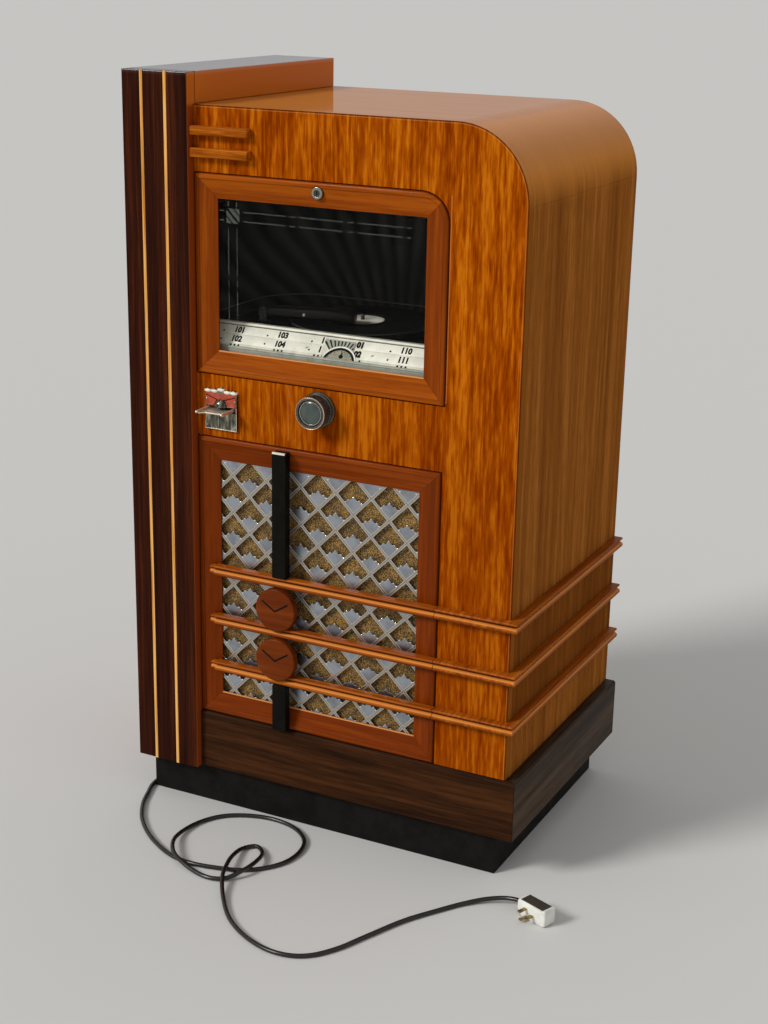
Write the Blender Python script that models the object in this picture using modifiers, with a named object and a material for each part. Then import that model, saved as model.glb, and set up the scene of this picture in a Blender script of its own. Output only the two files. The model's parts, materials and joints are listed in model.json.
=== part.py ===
"""Floor-standing coin-operated record player: a veneered cabinet with a tall pillar at its left,
a glazed door over the record deck, a grille door over the loudspeaker, and its mains lead.

The cabinet stands on z = 0 and faces -Y, with its origin under the middle of its outer box.
Places across and into the cabinet are measured from the pillar's front left edge, with wide() and deep().
"""
import math

import bmesh
import bpy
import numpy as np
from mathutils import Matrix, Vector

# Overall size, in metres
HEIGHT = 1.320
WIDTH = 0.748
DEPTH = 0.540

GAP = 0.0003
DOOR_GAP = 0.001
BOARD = 0.018
ROUND_STEPS = 32

# Pillar at the left
PILLAR_WIDTH = 0.128
PILLAR_DEPTH = 0.502
PILLAR_BOARD = 0.025
PILLAR_BOTTOM = 0.0765
INLAY_PLACES = (0.0385, 0.0845)
INLAY_WIDTH = 0.0054
INLAY_DEPTH = 0.0020

# Body to the right of the pillar
BODY_FRONT = 0.018
BODY_REAR = 0.513
BODY_RIGHT = 0.728
BODY_TOP = 1.268
BEND_RADIUS = 0.123
PANEL_BACK = BODY_FRONT + BOARD
INSIDE_LEFT = 0.103
INSIDE_RIGHT = BODY_RIGHT - BOARD
INSIDE_REAR = 0.484

# Base boards and the recessed plinth under them
BASE_TOP = 0.1875
BASE_THICK = 0.020
BASE_FRONT = BODY_FRONT - 0.005
KICK_LEFT = 0.0135
KICK_RIGHT = 0.710
KICK_FRONT = 0.0316
KICK_REAR = 0.498
FLOOR_TOP = PILLAR_BOTTOM + BOARD

# Doors: outer edges, frame section and opening
WINDOW_X = (0.129, 0.597)
WINDOW_Z = (0.819, 1.1585)
WINDOW_CORNER = 0.050
WINDOW_BACK = 0.032
GRILLE_X = (0.129, 0.595)
GRILLE_Z = (0.1885, 0.708)
GRILLE_BACK = 0.036
FRAME_WIDTH = 0.0415
FRAME_FRONT = 0.015
FRAME_ROUND = 0.005
BEAD_WIDTH = 0.009
SLOPE_FRONT = 0.016
SLOPE_BACK = 0.023
ROD_RADIUS = 0.0015
ROD_BORE = 0.0018
ROD_INSET = 0.005
ROD_DEPTH = FRAME_FRONT + 0.0055
ROD_END = 0.0065

# Grille lattice, measured between the crossings of its strips
LATTICE_PITCH = (0.0677, 0.0671)
LATTICE_ORIGIN = (0.1933, 0.6409)
STRIP_HALF = (0.0048, 0.0037)
SKYLINE = ((0.0, -0.0009), (0.0063, -0.0081), (0.0107, -0.0066), (0.0152, -0.0118))
GRILLE_FRONT = 0.0253
GRILLE_THICK = 0.0012
GRILLE_RIM = 0.0025

# Half-round rails, clock discs and black bars
RAIL_BOTTOMS = (0.4585, 0.3657, 0.2766)
RAIL_HEIGHT = 0.0186
RAIL_DEPTH = 0.0167
RAIL_LEFT = 0.155
RAIL_NOSE = 0.011
NOSE_SCALE = 0.76
DISC_X = 0.2948
DISC_RADIUS = 0.0392
DISC_FRONT = -0.005
DISC_THICK = 0.0125
BAR_X = (0.2865, 0.314)
BAR_FRONT = -0.001

# Record deck
DECK_TOP = 0.884
DECK_THICK = 0.012
DECK_FRONT = 0.0725
PLATTER_AT = (0.350, 0.205)
PLATTER_RADIUS = 0.125
PLATTER_TOP = 0.899
RECORD_RADIUS = 0.127
RECORD_THICK = 0.002
SPINDLE_RADIUS = 0.004
PANEL_FOOT = (0.0365, 0.8638)
PANEL_HEAD = (0.0698, 0.9035)
BACKDROP_FRONT = 0.100
BACKDROP_REAR = 0.352
BACKDROP_BEND = 0.100
BACKDROP_THICK = 0.003

# Tonearm, at the end of a record
ARM_AT = (0.215, 0.098)
ARM_ANGLE = 19.0
ARM_PIVOT_Z = 0.920
ARM_REACH = 0.148
NEEDLE_BOTTOM = 0.9017

# Coin slide and selector knob
COIN_PLATE_X = (0.146, 0.210)
COIN_PLATE_Z = (0.723, 0.7885)
COIN_PLATE_FRONT = 0.0135
SLIDE_TIP = BODY_REAR - DEPTH
SLIDE_Z = 0.761
KNOB_AT = (0.368, 0.784)
KNOB_RADIUS = 0.0275
KNOB_FRONT = -0.0150
KNOB_BACK = 0.0122
POINTER_X = 0.394
POINTER_UP_PANEL = 0.0101

# Loudspeaker
SPEAKER_AT = (0.420, 0.400)
SPEAKER_HOLE = 0.135
BAFFLE_FRONT = 0.085
BAFFLE_THICK = 0.015

# Mains lead: its route along the floor, in millimetres from the pillar's front left edge
CORD_RADIUS = 0.00375
CORD_EXIT = (60.0, 523.3, 12.0)
CORD_ROUTE = (
    CORD_EXIT, (60, 533, 12), (59.5, 550, 10.5), (52, 568, 7), (34, 580, 4), (10, 582, 4), (-16, 568, 4),
    (-31, 537, 4), (-30, 500, 4), (-17, 462, 4), (0, 426, 4), (7, 390, 4), (8, 330, 4), (8, 250, 4), (8, 170, 4),
    (8, 90, 4), (8.2, 50, 4), (9.0, 33, 4), (12.5, 16, 4), (21, -6, 4), (38, -48, 4), (70, -98, 4),
    (120, -146, 4), (190, -186, 4), (235, -193, 4), (282, -186, 4), (325, -172, 4), (356, -148, 4), (378, -112, 4),
    (382, -68, 4), (368, -28, 4), (330, 3, 4), (280, 13, 4), (233, 3, 4), (194, -21, 4), (169, -62, 4),
    (164, -118, 7), (178, -161, 12.6), (205, -194, 12.6), (254, -214, 5), (292, -220, 4), (318, -211, 6),
    (336, -184, 12.2), (340, -146, 12.2), (327, -104, 5.5), (305, -88, 4), (290, -106, 5), (292, -145, 10.5),
    (302, -182, 12.8), (316, -218, 12.8), (345, -263, 6), (391, -316, 4), (446, -352, 4), (497, -367, 4),
    (534, -363, 4), (561, -347, 4), (587, -312, 4), (612, -256, 4), (644, -185, 4), (679, -130, 4),
    (708, -90, 4.5), (738, -64, 8), (768, -54, 13), (791, -55, 16), (800.0, -58.5, 16),
)
CORD_POINTS = 80
PLUG_TURN = -21.4
PLUG_SIZE = (0.062, 0.027, 0.031)

LEFT = -WIDTH / 2
FACE = DEPTH / 2 - BODY_REAR


def wide(x):
    """Distance to the right of the pillar's left face, as a coordinate."""
    return LEFT + x


def deep(y):
    """Distance behind the pillar's front face, as a coordinate."""
    return FACE + y


PARTS = None
CUTTERS = None


def finish(name, colour, roughness, metallic=0.0, alpha=1.0):
    """A plain Principled material."""
    made = bpy.data.materials.get(name) or bpy.data.materials.new(name)
    made.use_nodes = True
    shader = made.node_tree.nodes["Principled BSDF"]
    shader.inputs["Base Color"].default_value = (*colour, 1.0)
    shader.inputs["Roughness"].default_value = roughness
    shader.inputs["Metallic"].default_value = metallic
    shader.inputs["Alpha"].default_value = alpha
    return made


def materials():
    return {
        "veneer": finish("golden_veneer", (0.42, 0.14, 0.02), 0.35),
        "walnut": finish("brown_walnut", (0.19, 0.07, 0.025), 0.35),
        "mahogany": finish("red_mahogany", (0.30, 0.08, 0.015), 0.35),
        "dark_wood": finish("dark_rosewood", (0.035, 0.015, 0.01), 0.3),
        "base_wood": finish("base_walnut", (0.07, 0.03, 0.018), 0.4),
        "black_wood": finish("black_stained_wood", (0.008, 0.008, 0.008), 0.5),
        "inlay": finish("boxwood_inlay", (0.60, 0.28, 0.07), 0.35),
        "plywood": finish("plywood", (0.45, 0.30, 0.17), 0.7),
        "glass": finish("window_glass", (0.8, 0.85, 0.85), 0.02, alpha=0.2),
        "chrome": finish("chrome", (0.75, 0.75, 0.73), 0.15, 1.0),
        "steel": finish("steel", (0.45, 0.45, 0.45), 0.35, 1.0),
        "grille": finish("nickel_grille", (0.45, 0.45, 0.44), 0.35, 1.0),
        "cloth": finish("gold_speaker_cloth", (0.20, 0.13, 0.04), 0.8),
        "black": finish("black_enamel", (0.01, 0.01, 0.012), 0.3),
        "shellac": finish("record_black", (0.006, 0.006, 0.007), 0.15),
        "bakelite": finish("brown_bakelite", (0.05, 0.02, 0.012), 0.25),
        "cream": finish("cream_card", (0.75, 0.72, 0.60), 0.5),
        "cone": finish("paper_cone", (0.06, 0.055, 0.05), 0.9),
        "rubber": finish("black_rubber", (0.015, 0.013, 0.012), 0.6),
        "white": finish("white_plastic", (0.80, 0.79, 0.74), 0.4),
    }


def add(name, mesh, look, cutter=False):
    """Link a mesh as a part, or as a hidden cutter."""
    made = bpy.data.objects.new(name, mesh)
    (CUTTERS if cutter else PARTS).objects.link(made)
    if cutter:
        made.hide_render = True
        made.display_type = "WIRE"
    else:
        mesh.materials.append(look)
    return made


def mesh_of(bm, name):
    mesh = bpy.data.meshes.new(name)
    bmesh.ops.recalc_face_normals(bm, faces=bm.faces)
    bm.to_mesh(mesh)
    bm.free()
    return mesh


def box(name, x, y, z, look=None, rounding=0.0, steps=2):
    """A board or block between two coordinates each way; without a look it is a cutter."""
    size = (x[1] - x[0], y[1] - y[0], z[1] - z[0])
    bm = bmesh.new()
    bmesh.ops.create_cube(bm, size=1.0, matrix=Matrix.Diagonal((*size, 1.0)))
    made = add(name, mesh_of(bm, name), look, cutter=look is None)
    made.location = [(low + high) / 2 for low, high in (x, y, z)]
    if rounding:
        soften(made, rounding, steps)
    return made


def soften(target, width, steps=2):
    """Round the edges that are sharper than 60 degrees."""
    bevel = target.modifiers.new("rounded_edges", "BEVEL")
    bevel.width = width
    bevel.segments = steps
    bevel.limit_method = "ANGLE"
    bevel.angle_limit = math.radians(60)
    return bevel


def rod(name, start, end, radius, look=None, steps=12):
    """A straight round bar between two points; without a look it is a cutter."""
    start, end = Vector(start), Vector(end)
    along = end - start
    bm = bmesh.new()
    bmesh.ops.create_cone(bm, cap_ends=True, segments=steps, radius1=radius, radius2=radius, depth=along.length)
    made = add(name, mesh_of(bm, name), look, cutter=look is None)
    made.location = (start + end) / 2
    made.rotation_mode = "QUATERNION"
    made.rotation_quaternion = along.to_track_quat("Z", "Y")
    return made


PLANES = {
    "XY": Matrix.Identity(4),
    "XZ": Matrix(((1, 0, 0, 0), (0, 0, -1, 0), (0, 1, 0, 0), (0, 0, 0, 1))),
    "YZ": Matrix(((0, 0, 1, 0), (1, 0, 0, 0), (0, 1, 0, 0), (0, 0, 0, 1))),
}
NORMALS = {"XY": Vector((0, 0, 1)), "XZ": Vector((0, 1, 0)), "YZ": Vector((1, 0, 0))}


def plate(name, loops, plane, low, high, look=None):
    """A flat outline, with any holes, given thickness from low to high across its plane."""
    curve = bpy.data.curves.new(name, "CURVE")
    curve.dimensions = "2D"
    curve.fill_mode = "BOTH"
    curve.extrude = (high - low) / 2
    for loop in loops:
        spline = curve.splines.new("POLY")
        spline.points.add(len(loop) - 1)
        for point, (u, v) in zip(spline.points, loop):
            point.co = (u, v, 0, 1)
        spline.use_cyclic_u = True
    drawn = bpy.data.objects.new(name + "_outline", curve)
    PARTS.objects.link(drawn)
    drawn.matrix_world = Matrix.Translation(NORMALS[plane] * (low + high) / 2) @ PLANES[plane]
    return solid_from(drawn, name, look)


def solid_from(drawn, name, look):
    """Make a curve object a closed mesh in the same place, and remove the curve."""
    bpy.context.view_layer.update()
    seen = drawn.evaluated_get(bpy.context.evaluated_depsgraph_get())
    mesh = bpy.data.meshes.new_from_object(seen)
    mesh.materials.clear()
    place = drawn.matrix_world.copy()
    bpy.data.objects.remove(drawn, do_unlink=True)
    bm = bmesh.new()
    bm.from_mesh(mesh)
    bmesh.ops.remove_doubles(bm, verts=bm.verts, dist=1e-6)
    bmesh.ops.recalc_face_normals(bm, faces=bm.faces)
    bm.to_mesh(mesh)
    bm.free()
    mesh.name = name
    made = add(name, mesh, look, cutter=look is None)
    made.matrix_world = place
    return made


def loft(name, rings, look=None):
    """Join rings of equally many points into one closed skin, with flat ends."""
    bm = bmesh.new()
    rows = [[bm.verts.new(point) for point in ring] for ring in rings]
    count = len(rows[0])
    for low, high in zip(rows, rows[1:]):
        for i in range(count):
            j = (i + 1) % count
            bm.faces.new((low[i], low[j], high[j], high[i]))
    bm.faces.new(list(reversed(rows[0])))
    bm.faces.new(rows[-1])
    return add(name, mesh_of(bm, name), look, cutter=look is None)


def turned(name, profile, look=None, steps=ROUND_STEPS, closed=False):
    """A lathe piece about local Z. The profile is (radius, height) and runs down its outer side."""
    mesh = bpy.data.meshes.new(name)
    points = [(radius, 0.0, height) for radius, height in profile]
    edges = [(i, i + 1) for i in range(len(points) - 1)]
    if closed:
        edges.append((len(points) - 1, 0))
    mesh.from_pydata(points, edges, [])
    made = add(name, mesh, look, cutter=look is None)
    screw = made.modifiers.new("turned", "SCREW")
    screw.axis = "Z"
    screw.steps = screw.render_steps = steps
    screw.use_merge_vertices = True
    screw.merge_threshold = 0.00001
    return made


def combine(target, others, operation="DIFFERENCE"):
    """Cut the others out of a part, or join them to it."""
    for other in others:
        boolean = target.modifiers.new(other.name, "BOOLEAN")
        boolean.operation = operation
        boolean.object = other
        boolean.solver = "EXACT"


def axis_at(name, x, y, z, turn=0.0):
    """An empty on a joint's axis, turned about Z in degrees."""
    empty = bpy.data.objects.new(name, None)
    PARTS.objects.link(empty)
    empty.location = (x, y, z)
    empty.rotation_euler = (0, 0, math.radians(turn))
    empty.empty_display_size = 0.02
    bpy.context.view_layer.update()
    return empty


def carry(empty, pieces):
    """Parent pieces to an empty and leave them where they are."""
    for piece in pieces:
        piece.parent = empty
        piece.matrix_parent_inverse = empty.matrix_world.inverted()


def face_forward(piece, x, y, z):
    """Lay a lathe piece's axis along -Y, with its local Z towards the viewer."""
    piece.rotation_euler = (math.radians(90), 0, 0)
    piece.location = (wide(x), deep(y), z)
    return piece


def arc(centre, radius, start, end, steps):
    """Points along an arc, its angles in degrees."""
    angles = np.radians(np.linspace(start, end, steps + 1))
    return [(centre[0] + radius * math.cos(a), centre[1] + radius * math.sin(a)) for a in angles]


def rectangle(x, z):
    return [(x[0], z[0]), (x[1], z[0]), (x[1], z[1]), (x[0], z[1])]


def spread(x):
    """A pair of distances across the cabinet, as coordinates."""
    return (wide(x[0]), wide(x[1]))


def reach(y):
    """A pair of distances into the cabinet, as coordinates."""
    return (deep(y[0]), deep(y[1]))


def build_plinth(look):
    """The recessed black plinth, the floor board and the two base boards mitred at the corner."""
    outer = rectangle(spread((KICK_LEFT, KICK_RIGHT)), reach((KICK_FRONT, KICK_REAR)))
    inner = rectangle(spread((KICK_LEFT + BOARD, KICK_RIGHT - BOARD)), reach((KICK_FRONT + BOARD, KICK_REAR - BOARD)))
    kick = plate("toe_kick", [outer, inner], "XY", 0.0, PILLAR_BOTTOM - GAP, look["black_wood"])
    hole = rod("lead_hole", (wide(CORD_EXIT[0] / 1000), deep(KICK_REAR - 0.03), CORD_EXIT[2] / 1000),
               (wide(CORD_EXIT[0] / 1000), deep(KICK_REAR + 0.01), CORD_EXIT[2] / 1000), 0.0048)
    combine(kick, [hole])
    box("floor_board", spread((BOARD + GAP, INSIDE_RIGHT - GAP)), reach((KICK_FRONT + 0.002, INSIDE_REAR - GAP)),
        (PILLAR_BOTTOM, FLOOR_TOP), look["plywood"])

    low, high, ease = PILLAR_BOTTOM, BASE_TOP, 0.003
    section = [(0, low), (BASE_THICK - ease, low), (BASE_THICK, low + ease), (BASE_THICK, high - ease),
               (BASE_THICK - ease, high), (0, high)]
    corner_x, corner_y = wide(BODY_RIGHT), deep(BASE_FRONT + BASE_THICK)
    start = [(wide(PILLAR_WIDTH + GAP), corner_y - out, z) for out, z in section]
    mitre = [(corner_x + out - GAP, corner_y - out, z) for out, z in section]
    loft("base_front", [start, mitre], look["base_wood"])
    mitre = [(corner_x + max(out, GAP), corner_y - out + GAP, z) for out, z in section]
    end = [(corner_x + max(out, GAP), deep(BODY_REAR), z) for out, z in section]
    loft("base_side", [mitre, end], look["base_wood"])
    hinge_hole = rod("grille_rod_foot", (wide(GRILLE_X[0] + ROD_INSET), deep(ROD_DEPTH), GRILLE_Z[0] - ROD_END - GAP),
                     (wide(GRILLE_X[0] + ROD_INSET), deep(ROD_DEPTH), GRILLE_Z[0] + 0.01), ROD_BORE)
    combine(bpy.data.objects["base_front"], [hinge_hole])


def build_pillar(look):
    """The tall pillar: a front board with two inlaid strips, a side, a back and a cap."""
    front = box("pillar_front", spread((0, PILLAR_WIDTH)), reach((0, PILLAR_BOARD)), (PILLAR_BOTTOM, HEIGHT),
                look["dark_wood"], rounding=0.0012, steps=1)
    for side, place in zip(("left", "right"), INLAY_PLACES):
        half = INLAY_WIDTH / 2
        groove = box("groove_" + side, spread((place - half - GAP, place + half + GAP)), reach((-0.01, INLAY_DEPTH + GAP)),
                     (0.0, HEIGHT + 0.1))
        combine(front, [groove])
        box("pillar_inlay_" + side, spread((place - half, place + half)), reach((0, INLAY_DEPTH)),
            (PILLAR_BOTTOM, HEIGHT), look["inlay"])
    window_hole = rod("window_rod_left", (wide(WINDOW_X[0] - ROD_END - GAP), deep(ROD_DEPTH), WINDOW_Z[0] + ROD_INSET),
                      (wide(WINDOW_X[0] + 0.01), deep(ROD_DEPTH), WINDOW_Z[0] + ROD_INSET), ROD_BORE)
    combine(front, [window_hole])

    behind = (PILLAR_BOARD + GAP, PILLAR_DEPTH)
    under_cap = HEIGHT - BOARD - GAP
    box("pillar_side", spread((0, BOARD)), reach(behind), (PILLAR_BOTTOM, under_cap), look["dark_wood"])
    cap = [(wide(0), HEIGHT - BOARD), (wide(PILLAR_WIDTH - BOARD), HEIGHT - BOARD),
           (wide(PILLAR_WIDTH - BOARD), BODY_TOP + GAP), (wide(PILLAR_WIDTH), BODY_TOP + GAP),
           (wide(PILLAR_WIDTH), HEIGHT), (wide(0), HEIGHT)]
    plate("pillar_cap", [cap], "XZ", deep(behind[0]), deep(behind[1]), look["mahogany"])
    wall = INSIDE_LEFT - BOARD - GAP
    back = [(wide(BOARD + GAP), PILLAR_BOTTOM), (wide(wall), PILLAR_BOTTOM), (wide(wall), BODY_TOP + GAP),
            (wide(PILLAR_WIDTH - BOARD - GAP), BODY_TOP + GAP), (wide(PILLAR_WIDTH - BOARD - GAP), under_cap),
            (wide(BOARD + GAP), under_cap)]
    plate("pillar_back", [back], "XZ", deep(INSIDE_REAR), deep(PILLAR_DEPTH), look["dark_wood"])


def build_shell(look):
    """The body's walls: left wall, top, bent corner and right side, and the slotted back."""
    top_under = BODY_TOP - BOARD
    box("left_wall", spread((INSIDE_LEFT - BOARD, INSIDE_LEFT)), reach((PILLAR_BOARD + GAP, BODY_REAR)),
        (FLOOR_TOP + GAP, top_under - GAP), look["plywood"])
    bend_x, bend_z = BODY_RIGHT - BEND_RADIUS, BODY_TOP - BEND_RADIUS
    run = (PANEL_BACK + GAP, BODY_REAR)
    box("top_panel", spread((INSIDE_LEFT - BOARD, bend_x - GAP)), reach(run), (top_under, BODY_TOP), look["walnut"])
    centre = (wide(bend_x), bend_z)
    ring = arc(centre, BEND_RADIUS, 0, 90, 16) + arc(centre, BEND_RADIUS - BOARD, 90, 0, 16)
    plate("corner_bend", [ring], "XZ", deep(run[0]), deep(run[1]), look["walnut"])
    box("side_panel", spread((INSIDE_RIGHT, BODY_RIGHT)), reach(run), (PILLAR_BOTTOM, bend_z - GAP), look["walnut"])

    low, high = FLOOR_TOP + GAP, top_under - GAP
    left, right = INSIDE_LEFT + GAP, INSIDE_RIGHT - GAP
    cut_x, cut_z = wide(bend_x), bend_z
    outline = [(wide(left), low), (wide(right), low)] + arc((cut_x, cut_z), BEND_RADIUS - BOARD - GAP, 0, 90, 12)
    outline.append((wide(left), high))
    slots = []
    for z in (0.30, 0.34, 0.38, 0.42, 0.46, 0.50, 1.02, 1.06, 1.10):
        for x in (0.20, 0.42):
            slots.append(rectangle(spread((x, x + 0.17)), (z, z + 0.012)))
    plate("back_panel", [outline] + slots, "XZ", deep(INSIDE_REAR), deep(INSIDE_REAR + 0.006), look["plywood"])


def build_front(look):
    """The veneered front: one board cut out for both doors, two short bars and three rails round the corner."""
    left, right = wide(PILLAR_WIDTH + GAP), wide(BODY_RIGHT)
    bend = (wide(BODY_RIGHT - BEND_RADIUS), BODY_TOP - BEND_RADIUS)
    window_right, window_top = wide(WINDOW_X[1] + DOOR_GAP), WINDOW_Z[1] + DOOR_GAP
    hole = (window_right - WINDOW_CORNER, window_top - WINDOW_CORNER)
    outline = [(left, BODY_TOP)] + arc(bend, BEND_RADIUS, 90, 0, 16) + [(right, BASE_TOP + GAP)]
    grille_right, grille_top = wide(GRILLE_X[1] + DOOR_GAP), GRILLE_Z[1] + DOOR_GAP
    outline += [(grille_right, BASE_TOP + GAP), (grille_right, grille_top), (left, grille_top),
                (left, WINDOW_Z[0] - DOOR_GAP), (window_right, WINDOW_Z[0] - DOOR_GAP)]
    outline += arc(hole, WINDOW_CORNER, 0, 90, 8) + [(left, window_top)]
    front = plate("front_panel", [outline], "XZ", deep(BODY_FRONT), deep(PANEL_BACK), look["veneer"])
    cutters = [
        box("coin_opening", spread((0.150, 0.206)), reach((0.0, 0.05)), (0.729, 0.785)),
        rod("knob_shaft_hole", (wide(KNOB_AT[0]), deep(0), KNOB_AT[1]), (wide(KNOB_AT[0]), deep(0.05), KNOB_AT[1]),
            0.0045),
        rod("window_rod_right", (wide(WINDOW_X[1] - 0.01), deep(ROD_DEPTH), WINDOW_Z[0] + ROD_INSET),
            (wide(WINDOW_X[1] + ROD_END + GAP), deep(ROD_DEPTH), WINDOW_Z[0] + ROD_INSET), ROD_BORE),
        rod("grille_rod_head", (wide(GRILLE_X[0] + ROD_INSET), deep(ROD_DEPTH), GRILLE_Z[1] - 0.01),
            (wide(GRILLE_X[0] + ROD_INSET), deep(ROD_DEPTH), GRILLE_Z[1] + ROD_END + GAP), ROD_BORE),
    ]
    combine(front, cutters)

    for name, bottom in (("short_bar_upper", 1.2195), ("short_bar_lower", 1.1840)):
        section = [(0.0, 0.0), (0.0118, 0.0), (0.0132, 0.0006), (0.0138, 0.0020), (0.0138, 0.0132),
                   (0.0132, 0.0146), (0.0118, 0.0152), (0.0, 0.0152)]
        rings = []
        for x, scale in ((PILLAR_WIDTH + GAP, 1.0), (0.2376, 1.0), (0.2386, 0.97), (0.2390, 0.90)):
            middle = 0.0076
            rings.append([(wide(x), deep(BODY_FRONT - GAP - out * scale), bottom + middle + (z - middle) * scale)
                          for out, z in section])
        loft(name, rings, look["mahogany"])

    for name, bottom in zip(("upper", "middle", "lower"), RAIL_BOTTOMS):
        section = rail_section()
        start = [(wide(GRILLE_X[1] + DOOR_GAP), deep(BODY_FRONT - GAP - out), bottom + z) for out, z in section]
        mitre = [(wide(BODY_RIGHT + GAP + out), deep(BODY_FRONT - GAP - out), bottom + z) for out, z in section]
        end = [(wide(BODY_RIGHT + GAP + out), deep(BODY_REAR), bottom + z) for out, z in section]
        loft("body_rail_" + name, [start, mitre, end], look["mahogany"])


def rail_section():
    """A rail's section, as (distance out, height): a thick bead under a thin one, with a cove between."""
    thick, thin = 0.0048, 0.0021
    lower = [(RAIL_DEPTH - thick + u, thick + v) for u, v in arc((0, 0), thick, -90, 65, 6)]
    cove = [(RAIL_DEPTH - 0.0068, 0.0103), (RAIL_DEPTH - 0.0068, 0.0132)]
    upper = [(RAIL_DEPTH - thin - 0.0008 + u, RAIL_HEIGHT - thin + v) for u, v in arc((0, 0), thin, -80, 90, 4)]
    return [(0.0, 0.0)] + lower + cove + upper + [(0.0, RAIL_HEIGHT)]


def frame_outline(x, z, inset, corner):
    """A door frame's outer edge drawn in by inset, with its upper right corner rounded where corner is given."""
    low_x, high_x, low_z, high_z = x[0] + inset, x[1] - inset, z[0] + inset, z[1] - inset
    points = [(low_x, low_z), (high_x, low_z)]
    if corner:
        points += arc((x[1] - corner, z[1] - corner), corner - inset, 0, 90, 10)
    else:
        points.append((high_x, high_z))
    return points + [(low_x, high_z)]


def door_frame(name, x, z, back, corner, rebate, look):
    """A mitred frame: rounded outer bead, a face that slopes in to the opening, and a rebate behind."""
    rings = []
    for angle in (90, 60, 30, 0):
        turn = math.radians(angle)
        inset = FRAME_ROUND * (1 - math.cos(turn))
        depth = FRAME_FRONT + FRAME_ROUND * (1 - math.sin(turn))
        rings.append([(wide(u), deep(depth), v) for u, v in frame_outline(x, z, inset, corner)])
    rings.append([(wide(u), deep(back), v) for u, v in frame_outline(x, z, 0.0, corner)])
    frame = loft(name, rings, look)

    steps = ((BEAD_WIDTH, SLOPE_FRONT - 0.006), (BEAD_WIDTH + 0.001, SLOPE_FRONT), (FRAME_WIDTH, SLOPE_BACK),
             (FRAME_WIDTH, back + 0.01))
    face = loft(name + "_face", [[(wide(u), deep(depth), v) for u, v in frame_outline(x, z, inset, 0)]
                                 for inset, depth in steps])
    ledge, seat = rebate
    opening = (x[0] + FRAME_WIDTH - ledge, x[1] - FRAME_WIDTH + ledge)
    height = (z[0] + FRAME_WIDTH - ledge, z[1] - FRAME_WIDTH + ledge)
    recess = box(name + "_rebate", spread(opening), reach((seat, back + 0.01)), height)
    combine(frame, [face, recess])
    return frame


def build_window_door(look):
    """The glazed door: it drops forward on a rod through its bottom rail and locks at the top."""
    frame = door_frame("window_frame", WINDOW_X, WINDOW_Z, WINDOW_BACK, WINDOW_CORNER, (0.006, 0.026),
                       look["mahogany"])
    hinge_z = WINDOW_Z[0] + ROD_INSET
    lock_x = sum(WINDOW_X) / 2
    lock_z = 1.141
    cutters = [
        rod("window_bore", (wide(WINDOW_X[0] - 0.01), deep(ROD_DEPTH), hinge_z),
            (wide(WINDOW_X[1] + 0.01), deep(ROD_DEPTH), hinge_z), ROD_BORE),
        rod("lock_hole", (wide(lock_x), deep(0), lock_z), (wide(lock_x), deep(0.05), lock_z), 0.0083, steps=24),
        rod("lock_seat", (wide(lock_x), deep(0), lock_z), (wide(lock_x), deep(0.0205), lock_z), 0.0107, steps=24),
    ]
    combine(frame, cutters)
    rod("window_hinge_rod", (wide(WINDOW_X[0] - ROD_END), deep(ROD_DEPTH), hinge_z),
        (wide(WINDOW_X[1] + ROD_END), deep(ROD_DEPTH), hinge_z), ROD_RADIUS, look["steel"])

    edge = FRAME_WIDTH - 0.006 + GAP
    glass = box("window_glass", spread((WINDOW_X[0] + edge, WINDOW_X[1] - edge)), reach((0.0263, 0.0303)),
                (WINDOW_Z[0] + edge, WINDOW_Z[1] - edge), look["glass"])

    face, shank, back = 0.0130, 0.0202, 0.0365
    lock = turned("lock_body", [(0.0055, 0), (0.0092, 0), (0.01025, -0.0010), (0.01025, face - shank),
                                (0.0080, face - shank), (0.0080, face - back), (0.0055, face - back)],
                  look["chrome"], steps=20, closed=True)
    face_forward(lock, lock_x, face, lock_z)
    plug = turned("lock_plug", [(0, 0), (0.0048, 0), (0.0052, -0.0005), (0.0052, -0.0270), (0, -0.0270)],
                  look["steel"], steps=16)
    face_forward(plug, lock_x, face + 0.0006, lock_z)
    keyway = box("keyway", spread((lock_x - 0.0008, lock_x + 0.0008)), reach((0.0, face + 0.0035)),
                 (lock_z - 0.0035, lock_z + 0.0035))
    cam = box("lock_cam", spread((lock_x - 0.006, lock_x + 0.026)), reach((0.0385, 0.0405)),
              (lock_z - 0.006, lock_z + 0.006))
    combine(plug, [keyway])
    combine(plug, [cam], "UNION")
    hinge = axis_at("window_door_axis", wide(WINDOW_X[0]), deep(ROD_DEPTH), hinge_z)
    carry(hinge, [frame, glass, lock])
    turn = axis_at("lock_axis", wide(lock_x), deep(face), lock_z)
    carry(hinge, [turn])
    carry(turn, [plug])


def grille_openings(x, z):
    """The holes of the grille: each a diamond whose lower part is filled by a stepped peak.

    A hole lies between a roof, b (1 - |u| / a), and the higher of the diamond's lower edges and the peak.
    It is cut off at the sheet's visible edges, so each is sampled where one of these lines bends.
    """
    pitch_x, pitch_z = LATTICE_PITCH
    half = (pitch_x / 2 - STRIP_HALF[0], pitch_z / 2 - STRIP_HALF[1])
    peak = [(-u, v) for u, v in reversed(SKYLINE)] + list(SKYLINE[1:])
    end = half[0] * (1 + SKYLINE[-1][1] / half[1]) + 0.0004
    end_v = -half[1] * (1 - end / half[0])
    peak = [(-end, end_v)] + peak + [(end, end_v)]
    holes = []
    for row in range(15):
        for column in range(-1, 8):
            shift = 0.5 if row % 2 else 0.0
            centre_x = LATTICE_ORIGIN[0] + pitch_x * (column + 0.5 - shift)
            centre_z = LATTICE_ORIGIN[1] - pitch_z * row / 2
            hole = one_opening(centre_x, centre_z, half, peak, x, z)
            if hole:
                holes.append([(wide(u), v) for u, v in hole])
    return holes


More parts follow.
